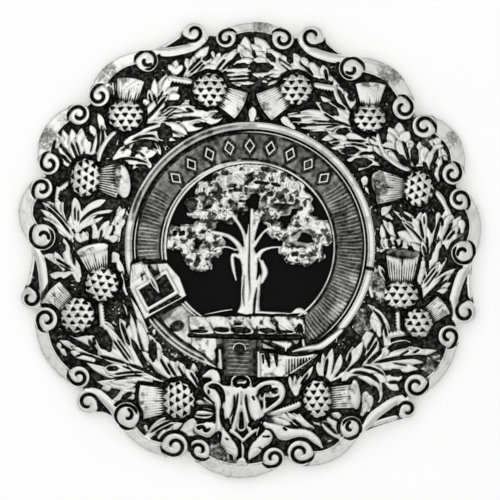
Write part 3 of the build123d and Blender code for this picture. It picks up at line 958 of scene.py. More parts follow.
    def crescent(self, relief: Relief, this: Coil, that: Coil) -> None:
        """Lay a crescent between two coils, with a bead and a fine groove along its inner edge."""
        chord = heading(this, that)
        outward = chord * 1j
        first, crown, last = self.ends(this, that)
        centre, radius = circle_through(first, crown, last)
        middle = (this.middle + that.middle) / 2
        stand = self.crescent_inner * this.bulge
        near = this.middle + chord * this.radius + outward * stand * 0.35
        far = that.middle - chord * that.radius + outward * stand * 0.35
        inner_centre, inner_radius = circle_through(near, middle + outward * stand, far)
        part, places = relief.window(crown, abs(that.middle - this.middle) / 2 + 34)
        outer_gap = radius + 3 - np.abs(places - centre)
        inner_gap = np.abs(places - inner_centre) - inner_radius
        local = (places - middle) * np.conj(chord)
        span = abs(that.middle - this.middle) / 2
        ahead = smooth(local.imag, -2.0, 2.0) * smooth(span + 12 - np.abs(local.real), 0.0, 2.0)
        body = smooth(np.minimum(outer_gap, inner_gap), 0.0, 1.4) * ahead
        bead = 0.07 * hump(inner_gap - 1.5, 1.5) - 0.05 * smooth(0.9 - np.abs(inner_gap - 3.2), 0.0, 1.0)
        relief.lay(part, (self.crescent_height + bead) * body)

    def spiral(
        self, coil: Coil, towards: complex, turn: int, winding: tuple[tuple[float, float], ...]
    ) -> np.ndarray:
        """Line of a coil's groove, which starts beside the crescent and winds in.

        Args:
            coil: The coil.
            towards: Direction in which the groove starts.
            turn: Which way it winds, +1 for anticlockwise.
            winding: Share of the coil's radius that it keeps at each angle of its sweep.

        Returns:
            The groove's places in order.
        """
        degrees, shares = np.array(winding).T
        sweep = np.linspace(degrees[0], degrees[-1], 40)
        reach = np.interp(sweep, degrees, shares) * coil.radius
        return coil.middle + towards * np.exp(1j * turn * np.radians(sweep)) * reach

    def carve(self, relief: Relief) -> None:
        """Lay the whole rim on the relief: crescents, S-scrolls and coils, then the coils' grooves."""
        grooves, loose = [], []
        for index, this, that in self.pairs():
            chord = heading(this, that)
            before, after = RIM[index - 1].link, that.link
            if this.link is Link.CRESCENT:
                self.crescent(relief, this, that)
                lean = np.exp(1j * math.radians(self.lean))
                ends = ((this, chord * lean, 1, before), (that, -chord / lean, -1, after))
                for coil, towards, turn, other in ends:
                    winding = self.joint if other is Link.SCROLL else self.bound
                    grooves.append(self.spiral(coil, towards, turn, winding))
                    if other is Link.SCROLL:
                        grooves.append(self.spiral(coil, towards, turn, self.comma))
            if this.link is Link.SCROLL:
                side = -1 if before is Link.NOTCH else 1
                self.scroll(relief, this, that, side)
                coil, junction = (this, chord) if side < 0 else (that, -chord)
                loose.append(coil)
                grooves.append(self.spiral(coil, junction, side, self.free))
        for coil in RIM:
            part, places = relief.window(coil.middle, coil.radius + 5)
            gap = coil.radius + 1.6 - np.abs(places - coil.middle)
            moat = 0.0 if coil in loose else 0.8
            relief.height[part] *= 1 - moat * smooth(gap, -2.4, -0.8) * (np.abs(places) < abs(coil.middle))
            crown = 0.86 + 0.14 * hump(np.abs(places - coil.middle), coil.radius + 1.6)
            relief.lay(part, self.coil_height * smooth(gap, 0.0, 2.2) * crown)
        for line in grooves:
            relief.groove(line, self.groove_width, self.groove_depth)

    def scroll(self, relief: Relief, this: Coil, that: Coil, side: int) -> None:
        """Lay an S-scroll between two coils, hugging the free one, and a strip along its outer edge.

        Args:
            relief: Where it is laid.
            this: The coil at its start.
            that: The coil at its end.
            side: -1 where the free coil comes first and +1 where it comes last.
        """
        span = that.middle - this.middle
        outward = heading(this, that) * 1j
        first = this.middle + outward * (this.radius - 1)
        last = that.middle + outward * (that.radius - 1)
        relief.ribbon(bow(first, last, -0.06, 14) - outward * 2.2, 6.0, self.scroll_height * 0.72)
        free, along = (this, span) if side < 0 else (that, -span)
        rows = []
        for share, off, width in self.hug:
            place = free.middle + along * share + outward * off - spot(0.0, 0.0)
            rows.append((place.real, -place.imag, width))
        relief.band(tuple(rows), self.scroll_height, 0.4)
        line, widths = trace(tuple(rows))
        relief.groove(line[4:-6] - outward * widths[4:-6] * 0.26, 0.9, 0.2)

    def build(self, relief: Relief, columns: int, rows: int) -> Weave:
        """Weave the rim's closed mesh.

        Args:
            relief: The carved and rubbed relief.
            columns: How many columns go round.
            rows: How many rows its face has.

        Returns:
            The mesh, not yet made.
        """
        angles = np.arange(columns) * FULL_TURN / columns
        outer = self.edge(angles)
        inner = self.inner_edge(angles)
        share = 1 - (1 - np.linspace(0, 1, rows)[:, None]) ** self.crowding
        reach = inner[None, :] + (outer - inner)[None, :] * share
        rays = np.exp(1j * angles)[None, :]
        face = face_places(relief, reach * rays)
        inset = np.clip(self.rounding - (outer[None, :] - reach) * self.square, 0, None)
        face[..., 2] -= self.rounding - np.sqrt(np.clip(self.rounding**2 - inset**2, 0, None))
        edge = face[-1]
        back = []
        for level, set_in in self.wall:
            ring = edge.copy()
            ring[:, :2] *= (1 - set_in / np.hypot(edge[:, 0], edge[:, 1]))[:, None]
            ring[:, 2] = edge[:, 2] * level
            back.append(ring)
        hollow = float(DOME.rise(self.hollow_radius)) - self.hollow_drop
        for radius, height in ((self.rest_radius, 0.0), (self.hollow_radius, hollow)):
            ring = np.stack([radius * rays[0].real, radius * rays[0].imag, np.full(columns, height)], axis=-1)
            back.append(ring)
        under = face[0].copy()
        under[:, 2] = DOME.rise(np.hypot(under[:, 0], under[:, 1])) - self.thickness
        back.append(under)
        places = np.concatenate([face, np.stack(back)])
        hidden = np.ones((len(back), columns))
        dark = np.concatenate([relief.sample(reach * rays, relief.black), 0.25 * hidden])
        grey = np.concatenate([relief.sample(reach * rays, relief.grey), 0.5 * hidden])
        return Weave("rim_scrolls", places, dark, grey)


def face_places(relief: Relief, places: np.ndarray) -> np.ndarray:
    """Places of the carved face in millimetres, for places on the paper beyond the seat."""
    reach = np.abs(places)
    radius = DOME.radius(reach)
    flat = places / reach * radius
    height = DOME.rise(radius) + relief.sample(places, relief.height)
    return np.stack([flat.real, flat.imag, height], axis=-1)


# Thistles and leaves


class Thistle(NamedTuple):
    """A thistle, in squares and degrees.

    Attributes:
        column: Column of the bulb's middle.
        row: Its row.
        wide: The bulb's half size along the tuft.
        long: Its half size across.
        angle: Way in which the tuft points.
        reach: How far the tuft's end is from the bulb's middle.
        neck: The tuft's width at the bulb.
        end: Its width at the end.
        point: Way in which the bulb's pits point.
        hairs: How many grooves the tuft has.
        hair: Share of the tuft that they reach along.
    """

    column: float
    row: float
    wide: float
    long: float
    angle: float
    reach: float
    neck: float
    end: float
    point: float
    hairs: int
    hair: float


THISTLES = table(Thistle, (
    (210, 91, 18, 18, -27, 36, 22, 33, -90, 8, 0.45), (296, 90, 17, 17, -150, 38, 24, 34, -90, 9, 0.35),
    (126, 116, 17, 19, 82, 37, 20, 31, -90, 7, 0.55), (369, 119, 15, 17, 88, 35, 18, 34, -90, 8, 0.40),
    (86, 178, 16, 20, -5, 34, 22, 38, 175, 9, 0.95), (418, 189, 16, 19, 178, 42, 19, 38, -10, 9, 0.70),
    (103, 284, 18, 18, 105, 36, 20, 35, -100, 8, 0.70), (400, 295, 15, 19, 88, 40, 24, 36, -90, 9, 0.85),
    (78, 315, 18, 19, 140, 36, 24, 32, 90, 11, 0.88), (418, 323, 15, 16, 36, 32, 20, 25, 90, 9, 0.88),
    (179, 399, 17, 20, 184, 38, 26, 38, 0, 9, 0.50), (317, 398, 15, 20, 4, 40, 24, 27, -90, 8, 0.75),
))


class Cap(NamedTuple):
    """A smooth oval, raised.

    Attributes:
        column: Column of its middle.
        row: The middle's row.
        wide: Its half width in squares.
        high: Its half height in squares.
        angle: Its turn in degrees.
        height: Its height in millimetres.
        soot_and_shade: Its darkening.
    """

    column: float
    row: float
    wide: float
    high: float
    angle: float
    height: float
    soot_and_shade: float


CAPS = table(Cap, (
    (124, 182, 8.5, 18, 8, 1.75, 0.16), (378, 185, 8, 14, 14, 1.60, 0.30),
    (355, 394, 5.5, 16, 4, 1.60, 0.0), (93.5, 249, 17.5, 5.5, 13, 1.65, 0.0),
    (402, 254, 18, 4.5, -4, 1.25, 0.50),
))


class Stroke(NamedTuple):
    """A stroke, light or cut: a blade of a leaf, a line between blades, or a stem.

    Attributes:
        column: Column of its root.
        row: The root's row.
        tip_column: Column of its tip.
        tip_row: The tip's row.
        width: Its width in squares.
        bend: How far it bows to its left, as a share of its length.
        prickles: Side of a stem that has prickles: 1 is left, -1 is right.
    """

    column: float
    row: float
    tip_column: float
    tip_row: float
    width: float
    bend: float = 0.0
    prickles: int = 0

    @property
    def line(self) -> np.ndarray:
        """Its line on the paper, from root to tip."""
        return bow(spot(self.column, self.row), spot(self.tip_column, self.tip_row), self.bend)


BLADES = table(Stroke, (
    (110, 89, 107, 83, 5), (114, 91, 115, 81, 5), (113, 99, 116, 90, 4), (105, 138, 98, 113, 8, -0.05),
    (186, 77, 210, 46, 11, 0.03), (190, 77, 205, 60, 4), (202, 62, 212, 58, 5, -0.35),
    (192, 73, 186, 58, 8), (193, 71, 194, 56, 7), (195, 69, 199, 60, 6), (173, 75, 177, 60, 8),
    (176, 75, 183, 65, 6), (175, 73, 168, 65, 6), (198, 75, 218, 66, 10), (208, 73, 222, 56, 8),
    (214, 73, 231, 52, 9), (221, 72, 239, 48, 10), (214, 58, 212, 51, 4), (216, 59, 221, 53, 4),
    (247, 66, 245, 36, 13), (247, 62, 238, 44, 8), (253, 60, 242, 50, 8), (234, 64, 254, 61, 7),
    (227, 71, 254, 71, 5), (228, 76, 250, 75, 4), (230, 80, 250, 79, 4), (232, 84, 256, 84, 4),
    (231, 88, 242, 86, 4), (148, 125, 168, 73, 10, 0.04), (154, 113, 155, 78, 8), (152, 111, 149, 89, 6),
    (151, 113, 144, 99, 9), (150, 113, 141, 108, 5), (160, 105, 171, 75, 8), (160, 101, 180, 87, 9),
    (164, 102, 181, 96, 11), (160, 113, 191, 100, 9, -0.08), (178, 109, 191, 105, 6),
    (168, 114, 197, 108, 9), (150, 122, 186, 114, 15), (175, 118, 214, 116, 14), (184, 117, 224, 110, 7),
    (221, 111, 232, 121, 5), (160, 125, 208, 122, 9), (198, 124, 224, 118, 11), (181, 131, 206, 126, 9),
    (131, 133, 182, 121, 5, 0.12), (168, 126, 186, 138, 8), (137, 133, 169, 96, 14, 0.03),
    (276, 68, 254, 37, 14, -0.03), (268, 60, 251, 44, 7), (269, 63, 255, 51, 7), (272, 63, 253, 60, 8),
    (288, 75, 268, 49, 16), (292, 73, 251, 75, 10, 0.03), (284, 76, 261, 83, 7), (285, 76, 266, 80, 6),
    (281, 78, 267, 88, 6), (272, 69, 331, 80, 14, 0.10), (288, 69, 282, 55, 8), (303, 71, 293, 53, 9),
    (309, 71, 302, 57, 8), (319, 78, 310, 62, 8), (327, 80, 322, 65, 8), (326, 76, 335, 82, 5),
    (350, 117, 334, 79, 10, 0.05), (353, 111, 337, 86, 7, -0.02), (354, 111, 344, 91, 6),
    (355, 109, 354, 93, 5), (351, 119, 319, 96, 8, 0.03), (351, 122, 328, 103, 9), (353, 128, 314, 102, 10),
    (350, 122, 330, 109, 11), (327, 117, 286, 115, 9, 0.05), (332, 118, 299, 113, 10),
    (353, 127, 292, 122, 8, 0.06), (346, 128, 298, 129, 5, 0.03), (293, 129, 280, 117, 9),
    (252, 123, 253, 107, 9), (398, 162, 399, 121, 15), (398, 148, 388, 127, 11), (400, 146, 409, 131, 11),
    (396, 152, 387, 133, 9), (398, 149, 381, 146, 7, -0.1), (410, 168, 396, 140, 10),
    (404, 167, 384, 149, 9, 0.02), (398, 163, 388, 152, 7), (406, 151, 411, 140, 8, -0.1),
    (405, 150, 414, 146, 6), (412, 169, 409, 147, 6), (412, 169, 421, 149, 7),
    (407, 167, 423, 165, 7, -0.1), (424, 169, 419, 141, 12), (427, 167, 424, 146, 10),
    (428, 171, 433, 149, 6, 0.05), (431, 155, 444, 146, 7, 0.15), (436, 161, 444, 148, 7),
    (434, 181, 438, 157, 7), (438, 181, 441, 157, 5), (432, 145, 430, 137, 5), (436, 145, 437, 137, 5),
    (440, 143, 439, 138, 4), (447, 157, 442, 149, 3), (448, 162, 443, 156, 3), (385, 160, 369, 138, 5),
    (372, 146, 366, 137, 6), (376, 152, 366, 146, 5), (77, 161, 74, 136, 17), (76, 163, 63, 129, 10, 0.03),
    (77, 161, 72, 128, 10), (80, 159, 82, 127, 10), (75, 165, 58, 147, 8), (73, 168, 58, 156, 7),
    (57, 141, 58, 133, 5), (60, 143, 62, 136, 4), (56, 148, 59, 142, 4), (98, 139, 90, 125, 7),
    (88, 154, 87, 136, 9), (92, 155, 98, 133, 7, -0.10), (97, 154, 102, 127, 5, -0.12),
    (101, 152, 105, 130, 4, -0.10), (126, 143, 182, 122, 7, 0.10), (128, 146, 183, 139, 6, 0.14),
    (140, 140, 178, 142, 6, 0.06), (152, 128, 189, 137, 8, 0.16), (126, 146, 160, 142, 7, 0.10),
    (140, 144, 162, 157, 7, 0.22), (120, 153, 152, 146, 8, 0.12), (116, 159, 133, 151, 11),
    (115, 160, 151, 164, 5, 0.05), (114, 165, 150, 168, 5, 0.10), (138, 157, 158, 153, 9),
    (142, 152, 149, 148, 6), (133, 170, 150, 167, 5, 0.2), (148, 160, 152, 170, 5), (116, 156, 126, 146, 4),
    (72, 227, 42, 200, 9, -0.06), (74, 236, 41, 201, 7, -0.05), (67, 219, 56, 199, 9),
    (71, 223, 63, 201, 8), (73, 241, 40, 209, 8, -0.06), (66, 236, 43, 217, 6), (77, 228, 76, 196, 11),
    (80, 219, 108, 200, 9, 0.08), (78, 231, 115, 211, 10, 0.12), (84, 227, 105, 217, 7, 0.05),
    (95, 242, 95, 222, 7), (88, 243, 87, 231, 6), (99, 242, 111, 220, 8, 0.05), (105, 241, 114, 224, 5),
    (119, 240, 121, 205, 9), (106, 242, 120, 237, 8), (114, 224, 127, 208, 7), (116, 233, 127, 219, 6),
    (85, 244, 76, 233, 8), (86, 243, 84, 231, 6), (391, 219, 382, 212, 5), (422, 245, 391, 210, 6, -0.08),
    (420, 240, 400, 214, 6, -0.05), (419, 232, 402, 211, 7, -0.05), (421, 250, 396, 232, 13, -0.06),
    (426, 250, 400, 221, 6, -0.04), (419, 246, 420, 211, 13), (427, 250, 424, 211, 10),
    (421, 232, 411, 218, 8), (432, 248, 434, 212, 12), (431, 230, 431, 207, 7), (437, 232, 438, 211, 8),
    (441, 245, 445, 210, 9), (445, 236, 452, 214, 11), (441, 248, 461, 215, 10), (446, 244, 458, 226, 7),
    (444, 250, 457, 233, 8), (462, 232, 462, 219, 6), (396, 244, 381, 219, 6, -0.04),
    (393, 234, 388, 221, 4), (394, 199, 381, 217, 9, -0.08), (384, 249, 380, 224, 6),
    (371, 296, 368, 270, 6, 0.04), (77, 272, 43, 255, 10, -0.08), (64, 269, 55, 251, 7),
    (70, 273, 50, 274, 9, 0.12), (71, 267, 60, 242, 8, -0.04), (79, 280, 64, 237, 10, 0.03),
    (81, 276, 73, 245, 7), (110, 261, 121, 254, 12), (119, 259, 124, 277, 8), (128, 294, 123, 272, 5, 0.08),
    (117, 338, 103, 320, 10), (134, 364, 103, 322, 10), (140, 367, 120, 317, 14, -0.05),
    (136, 360, 123, 302, 5, -0.10), (148, 368, 131, 296, 7, -0.08), (150, 362, 137, 318, 8, -0.05),
    (128, 363, 85, 334, 13), (114, 355, 95, 338, 9), (130, 363, 98, 345, 14, 0.05),
    (120, 359, 56, 327, 9, -0.04), (102, 356, 59, 340, 9), (94, 360, 70, 351, 8), (112, 357, 72, 347, 7),
    (152, 373, 86, 362, 10, 0.10), (130, 372, 104, 368, 12), (152, 377, 96, 381, 10, 0.08),
    (152, 381, 111, 382, 6), (61, 350, 58, 342, 5), (66, 355, 61, 348, 5), (103, 388, 112, 388, 6),
    (164, 380, 128, 364, 6, 0.05), (116, 401, 137, 387, 14), (119, 388, 137, 384, 5),
    (124, 399, 138, 395, 6), (174, 378, 149, 351, 15), (172, 376, 142, 350, 8),
    (161, 361, 149, 333, 6, -0.08), (162, 360, 158, 340, 7), (168, 370, 158, 348, 8),
    (179, 377, 162, 353, 7), (182, 377, 171, 359, 8), (189, 380, 177, 359, 8), (186, 374, 181, 361, 6),
    (196, 386, 194, 361, 8), (202, 388, 185, 367, 9), (204, 392, 198, 374, 6),
    (147, 437, 167, 416, 7, 0.04), (149, 437, 174, 419, 7, 0.04), (160, 437, 184, 421, 10, 0.06),
    (163, 436, 172, 428, 5), (183, 431, 197, 418, 13), (185, 433, 215, 426, 14), (198, 437, 220, 421, 16),
    (191, 413, 216, 412, 12), (147, 430, 145, 424, 4), (329, 118, 287, 117, 8, 0.03),
    (338, 124, 291, 123, 6, -0.04), (350, 128, 308, 127, 4, -0.05), (330, 128, 299, 129, 4),
    (342, 128, 320, 141, 7, 0.10), (362, 141, 325, 131, 6, 0.08), (366, 142, 340, 129, 6),
    (365, 142, 345, 135, 9), (352, 134, 332, 134, 5, -0.15), (368, 147, 350, 143, 3),
    (354, 143, 327, 143, 5, 0.05), (352, 146, 329, 149, 5, 0.05), (370, 151, 344, 146, 6, 0.05),
    (352, 156, 337, 151, 4), (356, 157, 340, 151, 4), (371, 158, 350, 155, 12, 0.10),
    (364, 154, 345, 161, 6, 0.10), (373, 158, 362, 158, 4, 0.2), (378, 166, 366, 160, 5),
    (376, 164, 357, 172, 7, -0.15), (364, 187, 364, 176, 9), (368, 194, 364, 187, 4),
    (378, 151, 371, 133, 4), (376, 147, 369, 139, 4), (380, 156, 373, 146, 4), (385, 250, 380, 238, 6),
    (390, 251, 384, 238, 7), (396, 251, 390, 236, 8), (392, 250, 400, 238, 6), (398, 250, 408, 247, 6),
    (404, 249, 404, 240, 5), (380, 251, 399, 248, 6), (427, 264, 410, 243, 8, -0.06),
    (427, 278, 421, 240, 7, -0.04), (418, 283, 422, 256, 10), (416, 272, 424, 260, 7),
    (431, 275, 435, 240, 10), (432, 268, 440, 240, 7), (422, 293, 447, 257, 9, 0.04),
    (421, 287, 438, 264, 5), (424, 298, 456, 268, 8, 0.05), (424, 296, 451, 275, 7),
    (428, 296, 451, 282, 7), (430, 296, 448, 289, 6), (386, 282, 377, 264, 6),
    (388, 346, 365, 303, 7, -0.16), (386, 330, 372, 307, 6, -0.10), (378, 334, 372, 311, 12),
    (372, 352, 366, 330, 16), (385, 346, 385, 324, 6), (362, 372, 376, 336, 12, -0.04),
    (352, 382, 384, 348, 10, -0.05), (344, 380, 352, 345, 12, -0.06), (368, 368, 384, 350, 7),
    (382, 351, 411, 342, 8, 0.08), (384, 356, 414, 346, 9, -0.05), (400, 356, 422, 348, 8),
    (366, 366, 438, 350, 11, 0.02), (380, 358, 388, 346, 8), (362, 370, 424, 362, 12, 0.04),
    (390, 368, 419, 369, 8), (352, 374, 386, 382, 18, 0.14), (346, 374, 380, 392, 9, 0.18),
    (380, 384, 378, 403, 7), (384, 378, 403, 377, 9), (384, 380, 399, 390, 9), (364, 406, 366, 390, 10),
    (368, 410, 371, 394, 7), (362, 414, 366, 402, 8), (342, 376, 378, 372, 7, 0.10),
    (295, 394, 289, 374, 5, 0.04), (297, 394, 294, 373, 4), (296, 394, 301, 374, 5),
    (298, 392, 310, 366, 6), (301, 386, 313, 364, 5), (323, 380, 317, 360, 8), (325, 378, 322, 351, 6),
    (328, 380, 332, 346, 8, 0.04), (330, 380, 340, 352, 7, -0.08), (333, 378, 357, 350, 9, -0.10),
    (338, 374, 362, 340, 10, -0.06), (322, 424, 302, 413, 9), (312, 428, 297, 413, 10),
    (304, 428, 289, 412, 10), (347, 441, 321, 419, 8), (340, 438, 321, 423, 7), (342, 419, 329, 409, 9),
    (342, 426, 325, 416, 8), (270, 416, 294, 421, 8, 0.10), (266, 418, 292, 424, 6),
    (303, 425, 286, 411, 4),
))

CUTS = table(Stroke, (
    (188, 72, 202, 57, 2.4), (189, 75, 205, 61, 2.0), (203, 60, 211, 57, 3.5), (217, 70, 226, 59, 2.0),
    (222, 71, 233, 60, 2.0), (227, 70, 239, 57, 2.2), (231, 65, 240, 53, 3.0), (234, 67, 248, 66, 4.5),
    (231, 78, 248, 77, 1.8), (231, 82, 250, 81, 2.0), (157, 104, 164, 90, 1.6),
    (145, 121, 168, 95, 2.6, -0.03), (159, 113, 170, 106, 1.2), (161, 116, 174, 107, 1.2),
    (164, 118, 178, 108, 1.2), (166, 120, 176, 113, 1.2), (165, 103, 184, 102, 4.8, -0.08),
    (160, 122, 201, 119, 2.4), (212, 118, 227, 114, 4.2, -0.05), (193, 126, 210, 126, 3.6),
    (135, 133, 158, 124, 1.6, 0.08), (164, 126, 167, 141, 13), (154, 94, 158, 107, 1.4),
    (149, 93, 152, 104, 1.4), (170, 115, 196, 112, 1.2), (186, 109, 194, 113, 2), (267, 54, 275, 62, 5),
    (250, 69, 272, 68, 9), (290, 55, 290, 64, 5.5), (299, 62, 313, 76, 1.5), (305, 66, 314, 77, 1.3),
    (277, 58, 294, 69, 1.3), (280, 64, 290, 72, 1.2), (325, 69, 327, 81, 2.8), (262, 77, 278, 80, 1.4),
    (266, 83, 282, 78, 1.4), (257, 77, 270, 82, 1.2), (338, 90, 346, 107, 3.2), (343, 101, 351, 113, 2.0),
    (330, 102, 346, 110, 2.8), (321, 105, 337, 115, 8.5), (323, 114, 335, 122, 2.2),
    (289, 120, 300, 121, 3.2), (326, 121, 351, 128, 2.0, 0.05), (303, 126, 342, 125, 1.6),
    (349, 95, 353, 101, 5.5), (402, 140, 410, 167, 2.8, 0.02), (393, 150, 406, 168, 3.2),
    (400, 155, 408, 166, 3.2), (414, 147, 414.5, 165, 7.5), (421, 143, 426, 147, 2.2),
    (423, 162, 427, 171, 3.2), (437, 149, 429, 168, 3.2, 0.10), (436, 162, 431, 178, 2.2),
    (377, 134, 383, 152, 1.2), (69, 181, 68, 220, 6.8), (43, 204, 73, 237, 2.2, 0.05),
    (45, 202, 72, 230, 1.4, 0.06), (71, 142, 79, 160, 2.4), (76, 141, 81, 157, 1.8),
    (61, 146, 75, 162, 2.6), (60, 154, 71, 164, 2.0), (88, 138, 94, 138, 6.5),
    (97, 131, 96, 153, 1.8, 0.12), (101, 126, 100, 151, 2.2, 0.12), (114, 209, 79, 225, 2.4, -0.15),
    (119, 216, 92, 220, 2.0, -0.10), (75.5, 206, 76, 222, 1.6), (79, 209, 79, 223, 1.6),
    (92, 226, 91, 241, 2.6), (103, 229, 101, 241, 1.8), (118, 224, 119, 224, 2),
    (130, 137, 162, 124, 1.4, 0.08), (131, 142, 158, 137, 2.0, 0.08), (124, 149, 144, 141, 1.4, 0.08),
    (133, 150, 157, 149, 6.5, 0.25), (114, 162, 150, 165, 1.8, 0.12), (120, 152, 132, 146, 1.2),
    (150, 141, 160, 151, 1.2, 0.2), (136, 166, 148, 167, 2.4), (140, 153, 146, 158, 1.4),
    (419, 221, 423, 240, 2.2), (423, 215, 424, 226, 1.4), (431, 209, 431, 232, 7),
    (441, 217, 442, 227, 2.2), (440, 219, 433, 252, 2.8, -0.04), (453, 221, 442, 242, 2.4),
    (399, 213, 412, 222, 3), (401, 222, 423, 244, 1.8, 0.05), (426, 234, 428, 264, 2.0),
    (397, 214, 408, 218, 1.4), (455, 230, 447, 240, 2.2), (55, 258, 73, 269, 2.2), (57, 263, 74, 272, 1.4),
    (63, 243, 63, 252, 5.5), (71, 239, 76, 268, 2.2), (99, 329, 110, 349, 13), (89, 339, 98, 354, 3.6),
    (94, 337, 96, 345, 2.6), (112, 337, 131, 363, 2.0), (116, 336, 134, 362, 1.6),
    (132, 338, 148, 369, 4.5), (121, 320, 131, 347, 2.8), (128, 302, 126, 330, 2.4, 0.10),
    (66, 337, 98, 355, 3.8), (98, 355, 128, 363, 2.6), (126, 363, 166, 381, 2.6, 0.04),
    (80, 352, 97, 357, 1.6), (75, 357, 85, 353, 1.6), (107, 368, 119, 368, 4.2),
    (111, 375, 148, 372, 1.8, 0.04), (111, 379, 148, 375, 1.6, 0.04), (122, 399, 132, 392, 4.2),
    (153, 340, 154, 360, 7), (140, 358, 158, 374, 1.8), (160, 357, 172, 376, 2.2),
    (168, 362, 177, 376, 2.4), (178, 365, 186, 378, 2.0), (190, 370, 200, 386, 2.0),
    (196, 368, 203, 388, 2.2), (149, 434, 172, 420, 2.2, 0.04), (153, 435, 176, 423, 1.8, 0.04),
    (196, 428, 210, 428, 3.4, 0.10), (193, 410, 215, 412, 1.8, 0.10), (195, 414, 213, 414, 1.6, -0.05),
    (194, 418, 214, 418, 2.8, -0.12), (195, 407, 214, 408, 2.2, 0.10), (290, 121, 301, 121, 3.0),
    (298, 126.5, 307, 126.5, 2.4), (336, 133, 349, 132, 5.5, 0.05), (344, 141, 366, 142, 1.8),
    (350, 144, 366, 147, 1.6), (331, 145, 340, 143, 2.0), (342, 152, 357, 151, 7.0),
    (358, 156, 369, 154, 2.4, 0.1), (351, 164, 370, 163, 8.5), (324, 129, 342, 125, 1.2),
    (308, 121, 338, 124, 1.2), (388, 240, 390, 248, 3), (394, 240, 397, 250, 2),
    (421, 243, 427, 276, 2.4, 0.06), (432, 243, 429, 262, 2.0), (443, 246, 441, 263, 6.5),
    (437, 266, 422, 285, 1.8), (441, 268, 423, 290, 1.4), (446, 274, 421, 301, 2.6, 0.03),
    (449, 278, 430, 295, 1.8), (380, 268, 387, 282, 1.6), (372, 309, 386, 338, 2.2, 0.10),
    (376, 330, 366, 352, 2.2), (388, 348, 411, 344, 6.5, 0.04), (410, 350, 398, 358, 1.8, -0.08),
    (420, 349, 412, 353, 1.8), (370, 363, 432, 356, 2.8, 0.03), (390, 362, 410, 366, 1.2),
    (345, 372, 362, 358, 2.6), (356, 366, 378, 338, 2.8, -0.05), (366, 364, 382, 350, 3.0),
    (350, 373, 379, 383, 2.6, 0.16), (361, 367, 386, 377, 2.0, 0.12), (372, 385, 376, 403, 4.0, 0.14),
    (389, 372, 402, 373, 6.5), (388, 382, 398, 382, 2.6), (413, 365, 422, 366, 2.2),
    (299, 411, 315, 426, 2.4), (322, 420, 338, 435, 2.4), (329, 416, 340, 421, 2.0),
    (292, 418, 302, 427, 2.4), (333, 378, 346, 358, 2.0, -0.06), (324, 377, 327, 356, 2.4),
    (300, 384, 308, 372, 1.8), (350, 352, 340, 372, 3, 0.10),
))


STEMS = table(Stroke, (
    (170, 79, 200, 84, 7, 0.0, -1), (310, 85, 333, 89, 7, 0.0, -1), (119, 130, 99, 161, 6, -0.10, 0),
    (377, 131, 385, 156, 5, -0.08, 0), (384, 155, 410, 171, 6, -0.08, 0), (75, 172, 58, 190, 6, 0.12, 1),
    (58, 188, 57, 200, 5, 0.0, 1), (428, 187, 448, 213, 7, 0.10, -1), (101, 301, 103, 324, 7, 0.0, 1),
    (397, 308, 398, 328, 6, 0.0, -1), (389, 335, 424, 334, 7, 0.05, 1), (189, 403, 218, 405, 7, 0.10, 0),
    (304, 401, 263, 413, 7, 0.05, -1),
))


GREYS = table(Oval, (
    (168, 350, 38, 8, -47, 0.40), (377, 284, 7, 20, 10, 0.90), (363, 320, 10, 16, -15, 0.75),
    (460, 230, 5, 14, 0, 0.65), (432, 365, 9, 12, -30, 0.75), (112, 88, 6, 8, 0, 0.60),
    (219, 452, 13, 9, -30, 0.95), (238, 464, 13, 5, 0, 0.85), (326, 443, 8, 8, 0, 0.50),
    (391, 393, 10, 8, 40, 0.40), (367, 400, 7, 14, 10, 0.60), (60, 142, 6, 14, 10, 0.35),
    (113, 317, 8, 10, 0, 0.40), (428, 142, 8, 6, 0, 0.60), (75, 150, 12, 5, 0, 0.35),
    (378, 234, 5, 20, 0, 0.45), (124, 222, 6, 16, 0, 0.60), (196, 352, 12, 9, -40, 0.40),
    (388, 318, 8, 12, 0, 0.45), (101, 226, 14, 6, 0, 0.35),
))


